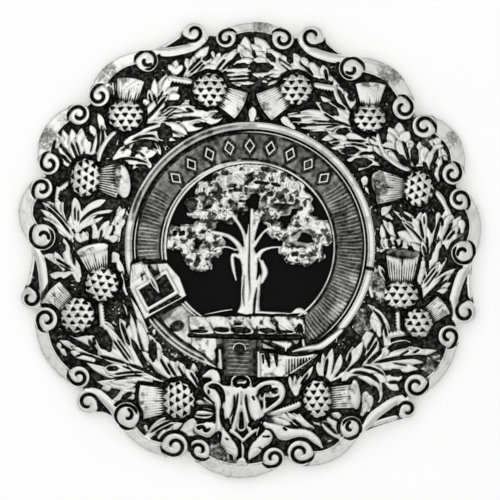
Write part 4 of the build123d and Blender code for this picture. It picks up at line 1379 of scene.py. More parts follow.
@dataclass
class Wreath:
    """Thistles and leaves between the ring and the rim.

    Attributes:
        leaf_height: Height of the leaves over the face, in millimetres.
        stem_height: Height of the stems.
        tuft_height: Height of the tufts.
        bulb_height: Height of the bulbs.
        shoulder: Share of a blade's length at which it is widest.
        prickle: Distance from one prickle of a stem to the next, in squares.
        pit_row: Distance between two rows of a bulb's pits.
        pit_pitch: Distance between two pits of a row.
        pit_depth: Depth of the pits, in millimetres.
        hair_depth: Depth of the grooves between a tuft's hairs.
        inner: Where the wreath's piece starts under the ring's edge, in squares.
        thickness: How far below the face the wreath's pieces end, in millimetres.
    """

    leaf_height: float = 0.95
    stem_height: float = 1.1
    tuft_height: float = 1.65
    bulb_height: float = 2.1
    shoulder: float = 0.55
    prickle: float = 3.2
    pit_row: float = 6.7
    pit_pitch: float = 8.6
    pit_depth: float = 0.80
    hair_depth: float = 0.44
    inner: float = 124.0
    thickness: float = 0.7

    def blade(self, relief: Relief, row: Stroke) -> None:
        """Lay one blade of a leaf: a pointed shape with a round back, over what lies there."""
        part, along, side = relief.beside(row.line, row.width + 3)
        rising = 0.55 + 0.45 * smooth(along, 0.0, self.shoulder)
        falling = 1 - (np.clip(along - self.shoulder, 0, 1) / (1 - self.shoulder)) ** 2.4
        half = (row.width + 1.0) / 2 * np.where(along < self.shoulder, rising, falling)
        gap = np.abs(side) - half
        free = smooth(along, 0.28, 0.62)
        moat = smooth(1.3 - gap, 0.0, 1.0) * smooth(gap, -0.6, 0.2) * free
        relief.height[part] *= 1 - 0.50 * moat
        edge = hump(side, np.maximum(half, 0.01))
        back = edge**0.4 * self.leaf_height * (0.80 + 0.30 * along) - 0.12 * smooth(edge, 0.80, 1.0)
        relief.cover(part, back, smooth(-gap, 0.0, 1.0) * free)
        relief.lay(part, back * (half > 0.3))

    def cut(self, relief: Relief, row: Stroke) -> None:
        """Cut one stroke: a fine line stays shallow and a wide one goes to the ground."""
        relief.groove(row.line, row.width, 0.35 + 0.22 * row.width, 0.25)

    def stem(self, relief: Relief, row: Stroke) -> None:
        """Lay one stem, with short prickles on one side."""
        part, along, side = relief.beside(row.line, row.width + 4)
        length = float(np.abs(np.diff(row.line)).sum())
        saw = (along * length / self.prickle) % 1.0
        half = row.width / 2 + (side * row.prickles > 0) * (2.2 * saw - 0.6)
        relief.lay(part, self.stem_height * hump(side, half) ** 0.6)

    def bulb(self, relief: Relief, row: Thistle) -> None:
        """Lay a thistle's bulb, with rows of three-cornered pits between raised scales."""
        towards = np.exp(1j * math.radians(row.angle))
        middle = spot(row.column, row.row)
        part, places = relief.window(middle, max(row.wide, row.long) + 3)
        local = (places - middle) / towards
        scallop = 0.03 * np.cos(np.angle(local) * 13) - 0.03
        spread = np.sqrt((local.real / row.wide) ** 2 + (local.imag / row.long) ** 2) + scallop
        back = np.sqrt(np.clip(1 - spread**2, 0, 1))
        body = self.bulb_height * (0.45 * smooth(1.0 - spread, 0.0, 0.12) + 0.55 * back)
        turned = (places - middle) * np.exp(1j * math.radians(-90 - row.point))
        pit, ridge = self.scales(turned, row)
        pit = pit * smooth(0.91 - spread, 0.0, 0.10)
        away = smooth(0.55 * row.wide - local.real, 0.0, 4.0)
        relief.height[part] *= 1 - 0.8 * smooth(1.15 - spread, 0.0, 0.08) * away
        body = np.maximum(body + ridge - self.pit_depth * pit, 0.0)
        relief.lay(part, body * smooth(1.08 - spread, 0.0, 0.06))

    def scales(self, turned: np.ndarray, row: Thistle) -> tuple[np.ndarray, np.ndarray]:
        """Pattern of a bulb's scales.

        Args:
            turned: Places from the bulb's middle, turned so that its pits point down.
            row: The thistle, whose place makes each bulb's pattern a little different.

        Returns:
            The share of a pit at each place, and the height of the ridges between them.
        """
        sway = 0.6 * np.sin(turned.imag * 0.33 + row.column)
        turned = turned + sway + 0.5j * np.cos(turned.real * 0.4 + row.row)
        level = turned.imag / self.pit_row
        number = np.floor(level + 0.5)
        shift = np.where(number % 2 == 0, 0.0, 0.5)
        across = (turned.real / self.pit_pitch + shift + 0.5) % 1.0 - 0.5
        rise = (level - number) + 0.5
        gap = np.minimum((rise - 0.12) * 4.9 - np.abs(across) * self.pit_pitch, (0.82 - rise) * self.pit_row)
        return smooth(gap, -0.2, 1.0), 0.12 * np.cos(across * FULL_TURN) * smooth(rise, 0.5, 1.0)

    def tuft(self, relief: Relief, row: Thistle, cloud: np.ndarray) -> None:
        """Lay a thistle's tuft, flared and smooth at its end, with fine grooves at its neck."""
        towards = np.exp(1j * math.radians(row.angle))
        middle = spot(row.column, row.row)
        part, places = relief.window(middle + towards * row.reach / 2, row.reach / 2 + row.end / 2 + 5)
        local = (places - middle) / towards
        start = row.wide * 0.6
        share = (local.real - start) / (row.reach - start)
        half = (row.neck + (row.end - row.neck) * np.clip(share, 0, 1)) / 2
        across = local.imag / half
        crown = row.reach + row.end * 0.08 * (1 - across**2)
        gap = np.minimum(np.minimum(half - np.abs(local.imag), crown - local.real), local.real - start)
        relief.height[part] *= 1 - 0.8 * smooth(gap, -2.6, -1.2)
        flare = 0.86 + 0.14 * np.clip(share, 0, 1)
        body = smooth(gap, 0.0, 1.5) * flare * (1 - 0.22 * across**2)
        lip = 0.12 * smooth(1.5 - np.abs(crown - local.real - 2.0), 0.0, 1.0)
        hairs = 0.5 + 0.5 * np.cos(across * math.pi * (row.hairs + 3) + 0.35 * cloud[part])
        ends = 0.12 * np.cos(across * 9.0) + 0.08 * np.cos(across * 23.0)
        seam = smooth(gap, 0.5, 2.0)
        fade = smooth(row.hair + ends - share, 0.0, 0.3) * seam
        fine = smooth(hairs, 0.3, 1.0)
        grooves = 0.07 * fine * seam + self.hair_depth * smooth(hairs, 0.40, 0.95) * fade
        relief.lay(part, (self.tuft_height + lip) * body - grooves * body)
        relief.soot_and_shade[part] += 0.20 * fine * seam * smooth(row.hair + 0.2 - share, 0.0, 0.3)
        grey = 0.34 * smooth(share, 0.55, 1.0) * smooth(across + cloud[part], -0.3, 0.9)
        relief.soot_and_shade[part] += grey * smooth(gap, 0.0, 1.0)

    def cap(self, relief: Relief, row: Cap) -> None:
        """Lay a smooth oval with a shallow hollow round it, and darken its face by its share."""
        middle = spot(row.column, row.row)
        part, places = relief.window(middle, max(row.wide, row.high) + 3)
        local = (places - middle) * np.exp(-1j * math.radians(row.angle))
        spread = np.sqrt((local.real / row.wide) ** 2 + (local.imag / row.high) ** 2)
        relief.height[part] *= 1 - 0.12 * smooth(1.35 - spread, 0.0, 0.20) * (spread > 0.95)
        relief.cover(part, row.height * (0.72 + 0.28 * hump(spread, 1.0)), smooth(1.03 - spread, 0.0, 0.12))
        relief.soot_and_shade[part] += row.soot_and_shade * smooth(1.0 - spread, 0.0, 0.25)

    def carve(self, relief: Relief, rng: np.random.Generator) -> None:
        """Lay the wreath on the relief: rough ground, leaves, stems, cuts, tufts and bulbs."""
        rough = speckle(relief.height.shape, 5, rng) + 0.6 * speckle(relief.height.shape, 12, rng)
        relief.height = np.maximum(relief.height, 0.42 * smooth(rough, -0.10, 1.05))
        for row in GREYS:
            part, places = relief.window(row.middle, max(row.wide, row.high) * 1.3)
            share = row.share * (0.7 + 0.5 * rough[part])
            relief.soot_and_shade[part] -= share * smooth(1.2 - row.spread(places), 0.0, 0.5)
        for row in BLADES:
            self.blade(relief, row)
        for row in STEMS:
            self.stem(relief, row)
        for row in CUTS:
            self.cut(relief, row)
        cloud = speckle(relief.height.shape, 12, rng) + 0.5 * speckle(relief.height.shape, 5, rng)
        relief.soot_and_shade += 0.17 * smooth(cloud, 0.1, 1.0)
        for row in THISTLES:
            self.tuft(relief, row, cloud)
        for row in CAPS:
            self.cap(relief, row)
        for row in THISTLES:
            self.bulb(relief, row)
        for row in STEMS:
            self.stem(relief, row)

    def build(self, relief: Relief, rim: Rim, columns: int, rows: int) -> list[Weave]:
        """Weave the wreath's closed meshes, three sectors of it.

        Args:
            relief: The carved and rubbed relief.
            rim: The rim that it meets.
            columns: How many columns go round.
            rows: How many rows its face has.

        Returns:
            The meshes, not yet made.
        """
        weaves = []
        every = np.arange(columns) * FULL_TURN / columns
        boundary = rim.inner_edge(every)
        for number, name in enumerate(("wreath_left", "wreath_foot", "wreath_right")):
            first = columns // 4 + number * columns // 3
            pick = np.arange(first, first + columns // 3 + 1) % columns
            rays = np.exp(1j * every[pick])[None, :]
            reach = self.inner + (boundary[pick] - self.inner)[None, :] * np.linspace(0, 1, rows)[:, None]
            face = face_places(relief, reach * rays)
            under = face[[-1, -1, 0]].copy()
            ground = DOME.rise(np.hypot(face[-1, :, 0], face[-1, :, 1]))
            under[0, :, 2] = (face[-1, :, 2] + ground) / 2
            under[1, :, 2] = ground - self.thickness
            under[2, :, 2] = DOME.seat_height - self.thickness
            places = np.concatenate([face, under])
            hidden = np.ones((len(under), len(pick)))
            dark = np.concatenate([relief.sample(reach * rays, relief.black), hidden])
            grey = np.concatenate([relief.sample(reach * rays, relief.grey), 0.0 * hidden])
            weaves.append(Weave(name, places, dark, grey, round_columns=False))
        return weaves


@dataclass
class Foot:
    """Bell-shaped ornament at the foot of the ring, between two volutes and over hanging leaves.

    Attributes:
        leaf_height: Height of the hanging leaves, in millimetres.
        body_height: Height of the bell and the volutes.
        leaves: The leaves, as bands of changing width.
        body: The bell's plate, lobes and stems.
        rolls: The volutes' rolls and the arch.
        cuts: What is cut into them.
    """

    leaf_height: float = 1.25
    body_height: float = 1.55
    leaves: tuple = (
        ((221, 428, 8), (224, 436, 13), (230, 446, 14), (235, 453, 9), (234, 460, 1)),
        ((270, 428, 8), (266, 437, 14), (257, 447, 14), (251, 455, 8), (249, 460, 1)),
        ((199, 428, 10), (207, 429, 17), (215, 427, 12), (221, 424, 4)),
        ((265, 423, 6), (274, 429, 13), (284, 433, 15), (294, 433, 11), (306, 434, 11), (316, 440, 9),
         (322, 447, 3)),
        ((238, 462, 4), (242, 460, 8), (246, 463, 3)), ((241, 442, 3), (243, 449, 5), (242, 458, 4)),
        ((204, 375, 4), (213, 373, 12), (217, 379, 10)), ((262, 396, 10), (270, 396, 12), (276, 392, 8)),
        ((241, 390, 28), (241, 411, 27), (241, 425, 15)),
    )
    body: tuple = (
        ((224, 387, 8), (234, 391, 14), (244, 391, 15), (254, 390, 10)),
        ((232, 393, 8), (228, 404, 12), (228, 414, 11), (230, 422, 4)),
        ((251, 392, 8), (254, 404, 14), (256, 414, 13), (257, 421, 4)),
        ((241, 389, 9), (239.5, 402, 8), (236, 416, 7), (233, 430, 5)),
        ((242, 400, 7), (246, 414, 7), (250, 430, 5)),
        ((213, 392, 14), (218, 402, 8), (218, 414, 5), (219, 428, 8)),
        ((264, 408, 4), (261, 420, 3), (257, 434, 3)), ((229, 429, 4), (237, 434, 5), (243, 440, 4)),
        ((256, 429, 4), (249, 434, 5), (243, 440, 4)), ((205, 397, 4), (212, 400, 6), (218, 402, 4)),
    )
    rolls: tuple = (
        ((232, 386, 3), (233, 377, 3.4), (241, 372.5, 4), (249, 377, 3.4), (251, 386, 3)),
        ((239, 382, 4), (245, 381, 4), (246, 378, 2)),
        ((206, 392, 5), (206, 385, 5), (214, 381, 4), (222, 385, 4), (226, 395, 4), (226, 402, 4)),
        ((206, 392, 4), (212, 393, 4), (213, 388, 3), (209, 387, 3)),
        ((254, 396, 4), (258, 386, 6), (268, 381.5, 7), (278, 383, 8), (282.5, 391, 7), (279, 400, 6),
         (270, 407, 5), (264, 411, 3)),
        ((272, 386, 3), (278, 386, 4), (279, 392, 4), (273, 395, 4), (270, 391, 3)),
        ((264, 392, 4), (264.5, 407, 4)),
    )
    cuts: tuple = (
        ((234.5, 395, 1.2), (234.5, 406, 1.2), (230, 417, 1)),
        ((238, 393, 1), (236.5, 405, 1.2), (232, 422, 1.6)), ((241.5, 391, 0.6), (241.5, 404, 1)),
        ((241.5, 412, 1.6), (241.5, 426, 4.4)), ((246, 394, 1), (247, 406, 1.3), (251, 422, 1.8)),
        ((250, 424, 4), (257, 422, 4), (263, 417, 2)), ((222, 409, 3), (223, 418, 3), (228, 429, 3.5)),
        ((228, 419, 3), (227, 424, 7)), ((211, 386, 2), (217, 386, 5), (222, 392, 5), (224, 400, 2)),
        ((262, 395, 1.5), (264, 388, 4.5), (269, 385, 2)),
        ((267, 398, 3), (273, 399, 3.4), (278, 396, 1.5)),
        ((234, 380, 2), (237, 384.5, 2.4), (241, 383.5, 2), (245, 385.5, 3), (249, 381, 2)),
        ((236, 378, 1.4), (242, 376, 2), (248, 379, 2)), ((234, 438, 3), (239, 441, 4)),
        ((248, 441, 4), (254, 438, 4)), ((199, 427, 4), (203, 426, 2.4), (206, 430, 3), (210, 428, 1)),
        ((266, 428, 1), (271, 430, 2), (276, 438, 2)), ((263, 436, 1), (269, 436, 1.8)),
        ((259, 447, 1), (263, 449, 1.4)), ((226, 438, 1.4), (228, 439, 1.4)),
        ((257, 419, 1), (261, 427, 3.4), (258, 434, 1)), ((209, 390, 1.6), (209, 392.5, 1.6)),
        ((273, 391, 1.4), (276, 391.5, 1.4)), ((284, 427.5, 2), (286, 429, 2)),
        ((240, 442, 2), (240, 456, 3)), ((246, 442, 2), (246, 456, 3)),
        ((202, 388, 1), (207, 396, 2), (214, 402, 1.6)), ((253, 396, 2), (254.5, 399, 1)),
        ((212, 436, 1), (220, 432, 2.5), (219, 444, 2)),
    )

    def carve(self, relief: Relief) -> None:
        """Lay the leaves, the bell and the volutes on the relief, then cut what is cut."""
        for row in self.leaves:
            relief.band(row, self.leaf_height, 0.3)
        for row in self.body + self.rolls:
            relief.band(row, self.body_height, 0.35)
        for row in self.cuts:
            relief.band(row, 0.5 + 0.25 * max(width for _, _, width in row), cut=True)


@dataclass
class PlateBody:
    """The smooth hollow back of the plate under its relief, in millimetres.

    Attributes:
        seat_under: Height of the hollow's flat top.
        rest_radius: Radius at which the back meets the surface it lies on.
        outer_radius: Radius of its hidden outer wall.
        rest_height: Height of the back's edge over that surface.
        sink: How far its top lies below the dome's face.
        least: Radius of the small opening at its axis, under the enamel.
    """

    seat_under: float = 6.6
    rest_radius: float = 42.0
    outer_radius: float = 42.4
    rest_height: float = 0.02
    sink: float = 0.15
    least: float = 0.5

    def build(self, columns: int = 256) -> Weave:
        """Weave the plate's body: its top is hidden under the relief, its back shows."""
        r0, z0, r1, z1 = DOME.seat_radius, self.seat_under, self.rest_radius, self.rest_height
        middle = (z0**2 - z1**2 + r0**2 - r1**2) / (2 * (z0 - z1))
        ball = math.hypot(r0, z0 - middle)
        section = [(self.least, DOME.seat_height), (DOME.seat_radius - 1.0, DOME.seat_height)]
        outside = np.linspace(DOME.seat_radius, self.outer_radius, 16)
        section += [(r, float(DOME.rise(r)) - self.sink) for r in outside]
        section += [(self.outer_radius, z1), (self.rest_radius, z1)]
        inside = np.linspace(self.rest_radius, r0, 24)[1:]
        section += [(r, middle + math.sqrt(ball**2 - r**2)) for r in inside]
        section += [(r, z0) for r in (r0 - 0.3, 20.0, 10.0, self.least)]
        radii, heights = np.array(section).T
        rays = np.exp(1j * np.arange(columns) * FULL_TURN / columns)
        flat = radii[:, None] * rays[None, :]
        places = np.stack([flat.real, flat.imag, np.repeat(heights[:, None], columns, 1)], axis=-1)
        dark = np.full(places.shape[:2], 0.30)
        return Weave("plate_body", places, dark, np.full(dark.shape, 0.8))


# Crest


class Around(NamedTuple):
    """Places round the ring.

    Attributes:
        reach: Squares from its middle.
        turn: Degrees from its right side, counted to the left.
        cloud: Soft random field.
    """

    reach: np.ndarray
    turn: np.ndarray
    cloud: np.ndarray

    @property
    def edge(self) -> np.ndarray:
        """Reach at which the sunk field begins, a little nearer on the right."""
        return 87.8 - 1.8 * np.cos(np.radians(self.turn))

    @property
    def upper(self) -> np.ndarray:
        """Share of the upper left, where the outer roll is creased and darkened with painted shade."""
        return smooth(self.turn, 80.0, 100.0) * smooth(172.0 - self.turn, 0.0, 12.0)

    @property
    def lower(self) -> np.ndarray:
        """Share of the lower left, between the buckle and the tail."""
        return smooth(-self.turn, 108.0, 114.0) * smooth(self.turn, -148.0, -144.0)

    @property
    def sunk(self) -> np.ndarray:
        """Share of the sunk field between the rolls."""
        within_it = smooth(self.reach, self.edge - 0.6, self.edge + 0.4)
        return within_it * smooth(113.6 + 2.4 * self.upper - self.reach, 0.0, 1.5)


@dataclass
class StrapRing:
    """Strap-and-buckle ring with its tail, in millimetres of height and squares of plan.

    Attributes:
        base: Height of its underside.
        plain: Thickness of the plain strap.
        inner: Its inner radius.
        outer: Its outer radius.
        ribs: How many ribs would go right round.
        outgrowths: Shapes that stand out past its two edges: the buckle, the tail and the folds.
        folds: The strap's folded sheets beside the tail: corners, height over the strap and darkening.
        bars: Raised lines of the tail and its folds, as bands, with their height over the strap.
        cuts: Bands cut beside them, and a groove under the torse whose black is a painted shadow.
        cut_depth: Depth of those cuts.
        roll: Reach of the outer roll's middle, in squares.
        crease: Reach of the crease along it.
        line: Reach of the raised line inside it.
        bead: Reach of the inner bead.
        joint: Turn of the cut across the roll, in degrees.
        grooves: Grooves right round: reach, half width and depth.
        lozenges: How many lozenges stand in the sunk field.
        lozenge_reach: Reach of their middles.
        lozenge_span: Turns of the first and the last.
        buckle_plan: Corners of the buckle's outside, its window, the fold at its top and its gutter.
        buckle_shadow: Corners of the painted shadow below its lower bar.
        prong: The prong, as a band.
        prong_cuts: Bands cut beside it, with their depths.
        stud: Corners of the square stud.
        knob: The round knob below the buckle, in a groove of its own.
        tail_plan: Corners of the hanging tail.
        line_pitch: Distance between two of the tail's lines.
        eyelet: Radius of the eyelet's rim.
        comb_plan: Corners of the combed place on the fold.
        comb_pitch: Distance between two of its lines.
    """

    base: float = 8.05
    plain: float = 1.5
    inner: float = 83.3
    outer: float = 124.9
    ribs: int = 176
    outgrowths: tuple = (
        ((168, 262), (181, 278), (188, 296), (145, 320), (129, 286)),
        ((224, 340), (257, 340), (257, 375.5), (224, 375.5)),
        ((257, 350), (288, 350), (288, 376), (257, 377)),
        ((280, 345), (324, 350), (293, 373), (284, 374)),
    )
    folds: tuple = (
        (((189, 336), (217, 337), (218, 368), (208, 361), (190, 344)), 0.25, 0.06),
        (((262, 339), (300, 339), (300, 350), (262, 349)), 0.30, 0.30),
        (((257, 352), (321, 353), (288, 378), (257, 378)), 0.85, 0.06),
    )
    bars: tuple = (
        (((220, 350, 4), (220.5, 360, 5), (221, 369, 4)), 1.1), (((303, 340, 4), (304, 346, 5)), 0.9),
        (((273, 341.5, 3), (281, 343.5, 7), (287, 345, 9), (290, 344, 6)), 0.9),
        (((286, 344, 8), (286, 348, 5), (285.5, 351.5, 1)), 0.9),
        (((293, 351, 3), (306, 348, 6), (320, 346, 8), (332, 339, 10), (341, 331, 7)), 1.3),
        (((258.5, 352, 4), (259, 364, 5), (259, 377, 5)), 1.25),
        (((324, 352, 2.4), (306, 363, 2.4), (284, 377, 2)), 1.25),
    )
    cuts: tuple = (
        ((262, 349, 2), (285, 353.5, 3), (304, 354, 2.6), (322, 350, 1.5)),
        ((267, 354, 5), (268.5, 361, 3), (269.5, 367, 1)),
        ((276, 354, 4), (276.5, 360, 3), (277, 366, 1)), ((263, 355, 2), (263.5, 363, 1)),
        ((312, 361, 1), (302, 368, 1.4), (293, 374, 1.4)),
        # The first band on the next line is a groove under the torse, rubbed black as its painted shadow.
        ((190, 335, 4), (230, 336, 5), (262, 337, 5), (300, 337, 4)), ((217, 350, 1.4), (217, 366, 1.4)),
        ((196, 327, 9), (215, 328, 11), (280, 328, 11), (299, 327, 9)),
        ((262, 341, 1.4), (270, 345, 1.8), (280, 350, 1.6)),
        ((293, 350, 1.4), (298, 345, 1.8), (301, 340, 1.4)),
    )
    cut_depth: float = 0.8
    roll: float = 121.3
    crease: float = 121.4
    line: float = 115.2
    bead: float = 84.5
    joint: float = -10.2
    grooves: tuple = ((116.7, 0.7, 0.45), (113.6, 0.6, 0.25), (118.9, 0.4, 0.12))
    lozenges: int = 9
    lozenge_reach: float = 101.0
    lozenge_span: tuple[float, float] = (137.0, 43.0)
    buckle_plan: tuple = (
        ((131, 264), (168, 262), (181, 277), (188, 296), (145, 320), (129, 288)),
        ((165.5, 275), (174, 291), (149, 306), (140.5, 290)),
        ((148, 261), (157, 262), (161, 276), (150, 285)),
        ((150, 310), (149.5, 313.5), (182, 297), (178, 294.5)),
    )
    buckle_shadow: tuple = ((150, 317), (178, 302), (172, 316), (162, 324))
    prong: tuple = ((144, 266, 7), (150, 276, 8), (155, 284, 7), (159, 292, 3))
    prong_cuts: tuple = (
        (((151.5, 279, 1), (154, 284, 1.8), (157, 289, 1)), 0.6),
        (((143, 261, 1), (141.5, 270, 1.4), (143, 280, 1)), 0.5),
    )
    stud: tuple = ((132, 264), (143, 260), (147, 271), (134, 281))
    knob: Oval = Oval(177.5, 326, 7.5, 5.5, 15)
    tail_plan: tuple = ((223, 338), (257, 338), (257, 376), (223, 376))
    line_pitch: float = 4.1
    eyelet: float = 6.2
    comb_plan: tuple = ((286, 359), (312, 357), (312, 361), (290, 373), (286, 373))
    comb_pitch: float = 2.9

    def carve(self, relief: Relief, rng: np.random.Generator) -> None:
        """Lay the strap, its rolls and lines, its ribs, lozenges, buckle and tail."""
        part, places = relief.window(0j, self.outer + 12)
        shape = relief.height.shape
        cloud = speckle(shape, 40, rng)[part] + 0.6 * speckle(shape, 14, rng)[part]
        around = Around(np.abs(places), np.degrees(np.angle(places)), cloud)
        rib, ribbed = self.ribbing(around)
        relief.lay(part, self.rolls(around) + ribbed * (0.18 * rib - 0.09))
        relief.soot_and_shade[part] += self.grey(around, rib, ribbed)
        first, last = self.lozenge_span
        for number in range(self.lozenges):
            angle = math.radians(first - number * (first - last) / (self.lozenges - 1))
            self.lozenge(relief, self.lozenge_reach * complex(math.cos(angle), math.sin(angle)), angle)
        self.buckle(relief, rng)
        self.tail(relief, rng)

    def rolls(self, around: Around) -> np.ndarray:
        """Height of the strap with its outer roll, its line, its inner bead and its grooves."""
        reach, edge, upper, lower = around.reach, around.edge, around.upper, around.lower
        crease = smooth(1.5 - np.abs(reach - self.crease), 0.0, 1.0)
        height = self.plain + 0.85 * hump(reach - self.roll, 4.6) - 0.35 * (upper + 1.4 * lower) * crease
        line = 0.40 * (1 - np.maximum(upper, lower)) * hump(reach - self.line, 1.3)
        height += line + 0.40 * hump(reach - self.bead, 1.6)
        height += 0.30 * hump(reach - edge + 1.3, 1.1) * smooth(edge, 87.4, 88.6)
        for middle, half, depth in self.grooves + ((edge, 0.7, 0.30),):
            height -= depth * (1 - lower) * smooth(half + 0.6 - np.abs(reach - middle), 0.0, 1.0)
        joint = smooth(0.9 - np.abs(around.turn - self.joint), 0.0, 0.5)
        return height - 0.8 * joint * smooth(reach, 116.0, 117.0)

    def ribbing(self, around: Around) -> tuple[np.ndarray, np.ndarray]:
        """Ribs across the sunk field, right of the lozenges and left of them.

        Args:
            around: Places round the ring.

        Returns:
            Height of the ribs from 0 to 1, and the share of the ribbed field.
        """
        reach, turn, _ = around
        left = smooth(turn % 360, 146.0, 149.0) * smooth(190.0 - turn % 360, 0.0, 3.0)
        right = smooth(36.0 - turn, 0.0, 2.0) * (turn > -60)
        ribbed = np.clip(left + right, 0, 1) * smooth(reach, around.edge + 1, around.edge + 7)
        ribbed *= smooth(113.4 - reach, 0.0, 4.0)
        wave = np.cos(np.radians(turn) * self.ribs + 0.5 * np.sin(reach * 0.2) + 0.8 * around.cloud)
        rib = smooth(wave, -0.2, 0.95) * (0.72 + 0.28 * np.cos(np.radians(turn) * 61 + reach * 0.07))
        return rib, ribbed

    def grey(self, around: Around, rib: np.ndarray, ribbed: np.ndarray) -> np.ndarray:
        """Darkening over the strap, partly painted shade.

        Args:
            around: Places round the ring.
            rib: Height of the ribs.
            ribbed: Share of the ribbed field.

        Returns:
            The darkening, dark in the sunk field and lighter on the ribs and where it is worn.
        """
        reach, turn, cloud = around
        edge, upper, sunk = around.edge, around.upper, around.sunk
        streak = 0.5 * np.cos(np.radians(turn) * 97) + 0.5 * np.cos(np.radians(turn) * 61 + reach * 0.05)
        worn = smooth(18.0 - np.abs(turn + 28.0), 0.0, 9.0) * smooth(reach, 98.0, 107.0)
        soot_and_shade = sunk * (0.53 + 0.11 * ribbed + 0.10 * cloud + 0.05 * streak * (1 - ribbed))
        soot_and_shade -= ribbed * rib * 0.35
        bare = 0.36 * worn * smooth(cloud, -0.7, 0.7) + 0.40 * around.lower * smooth(cloud, -0.8, 0.8)
        soot_and_shade -= sunk * bare
        soot_and_shade += 0.40 * smooth(edge - 1.8 - reach, 0.0, 1.0) * smooth(reach, 85.6, 86.4)
        soot_and_shade += 0.30 * smooth(cloud, -0.2, 0.8) * smooth(88.0 - reach, 0.0, 1.0)
        # Painted shade on the upper left: along the roll's crease and where the raised line is left out.
        crease = smooth(2.4 - np.abs(reach - self.crease), 0.0, 1.0)
        soot_and_shade += 0.34 * upper * crease + 0.3 * upper * (np.abs(reach - self.line - 0.2) < 2)
        return soot_and_shade + 0.24 * smooth(cloud, 0.1, 0.9) * (reach > 117)

    def lozenge(self, relief: Relief, middle: complex, angle: float) -> None:
        """Lay one raised lozenge, with a hollow in it, its long way across the strap."""
        part, places = relief.window(middle, 12)
        local = (places - middle) * np.exp(-1j * angle)
        spread = np.abs(local.real) / 8.8 + np.abs(local.imag) / 6.2
        ridge = smooth(1.0 - spread, 0.0, 0.16) - 0.9 * smooth(0.62 - spread, 0.0, 0.16)
        relief.lay(part, self.plain + 0.5 * ridge * (spread < 1))
        relief.soot_and_shade[part] -= 0.5 * smooth(1.05 - spread, 0.0, 0.1) * (1 - smooth(0.6 - spread, 0.0, 0.1))

    def buckle(self, relief: Relief, rng: np.random.Generator) -> None:
        """Lay the buckle's frame, prong and painted shadow, the stud above it and the knob below it."""
        part, places = relief.window(spot(156.5, 290.5), 38)
        outer, window, fold, gutter = (within(places, corners) for corners in self.buckle_plan)
        rise = self.plain + 0.6 + 0.7 * smooth(outer, 0.0, 1.6) + 0.35 * hump(window + 2.4, 2.2)
        rise = rise - 0.4 * smooth(gutter, -0.6, 0.6) - 0.35 * smooth(fold, -0.5, 0.8)
        rise = np.where(window > -0.2, self.plain - 0.2, rise)
        relief.cover(part, rise, smooth(outer, 0.0, 1.0))
        cloud = speckle(relief.height.shape, 16, rng)[part]
        low = 0.62 * smooth(window, -0.4, 0.6) + 0.30 * smooth(fold, -0.4, 0.8) * (window < 0.2)
        low = low + 0.12 * smooth(gutter, -0.5, 0.5) + 0.16 * smooth(cloud, 0.0, 0.8)
        # Painted shadow of the buckle, darkening the strap below its lower bar.
        shadow = smooth(within(places, self.buckle_shadow), -2.0, 2.0)
        relief.soot_and_shade[part] = np.where(outer > 0, low, np.maximum(relief.soot_and_shade[part], 0.55 * shadow))
        relief.band(self.prong, self.plain + 1.75, 0.3)
        for rows, depth in self.prong_cuts:
            relief.band(rows, depth, cut=True)
        part, places = relief.window(spot(139, 271), 14)
        stud = within(places, self.stud)
        relief.height[part] -= 0.25 * smooth(stud, -1.6, -0.6) * smooth(-stud, -0.4, 0.2)
        relief.lay(part, (self.plain + 1.2 + 0.3 * smooth(stud, 1.0, 3.0)) * smooth(stud, -0.6, 0.8))
        relief.soot_and_shade[part] *= 1 - 0.8 * smooth(stud, -0.6, 0.8)
        part, places = relief.window(self.knob.middle, 12)
        spread = self.knob.spread(places)
        relief.height[part] -= 0.3 * smooth(1.1 - spread, 0.0, 0.4) - 0.3 * smooth(0.6 - spread, 0.0, 0.3)
        relief.soot_and_shade[part] += 0.38 * smooth(1.15 - spread, 0.0, 0.4)

    def tail(self, relief: Relief, rng: np.random.Generator) -> None:
        """Lay the hanging tail with its eyelet, and the folds beside it."""
        cloud = speckle(relief.height.shape, 12, rng) + 0.5 * speckle(relief.height.shape, 6, rng)
        part, places = relief.window(spot(258, 356), 66)
        local = places - spot(240.5, 356)
        body = within(places, self.tail_plan)
        wave = np.cos(local.imag * FULL_TURN / self.line_pitch + 0.5 * np.sin(local.real * 0.2))
        line = smooth(wave, 0.3, 1.0) * smooth(12.0 - np.abs(local.real + 1.5), 0.0, 3.0)
        eye = np.abs(places - spot(239.5, 349))
        upper = local.imag > 6
        relief.cover(part, self.plain + 0.35 + 0.10 * line, smooth(body, -0.4, 0.8))
        relief.soot_and_shade[part] = np.where(body > 0, 0.64 - 0.24 * line + 0.06 * cloud[part], relief.soot_and_shade[part])
        relief.height[part] += 0.25 * hump(eye - self.eyelet, 1.0) * upper
        relief.height[part] -= 0.35 * smooth(self.eyelet - 1.0 - eye, 0.0, 1.0)
        rim = hump(eye - self.eyelet, 1.2) * upper
        relief.soot_and_shade[part] += np.where(eye < self.eyelet + 1.2, 0.14 - 0.5 * rim, 0.0)
        for corners, height, soot_and_shade in self.folds:
            sheet = within(places, corners)
            relief.cover(part, self.plain + height, smooth(sheet, 0.0, 1.0))
            grey = soot_and_shade + 0.42 * smooth(cloud[part], -0.2, 1.0)
            relief.soot_and_shade[part] = np.where(sheet > 0, grey, relief.soot_and_shade[part])
        comb = smooth(np.cos((places.real - spot(289, 0).real) * FULL_TURN / self.comb_pitch), 0.0, 0.9)
        comb *= smooth(within(places, self.comb_plan), -0.5, 0.8)
        relief.height[part] -= 0.35 * comb
        relief.soot_and_shade[part] += 0.34 * comb
        for rows, height in self.bars:
            relief.band(rows, self.plain + height, 0.3)
        for rows in self.cuts:
            relief.band(rows, self.cut_depth, cut=True)

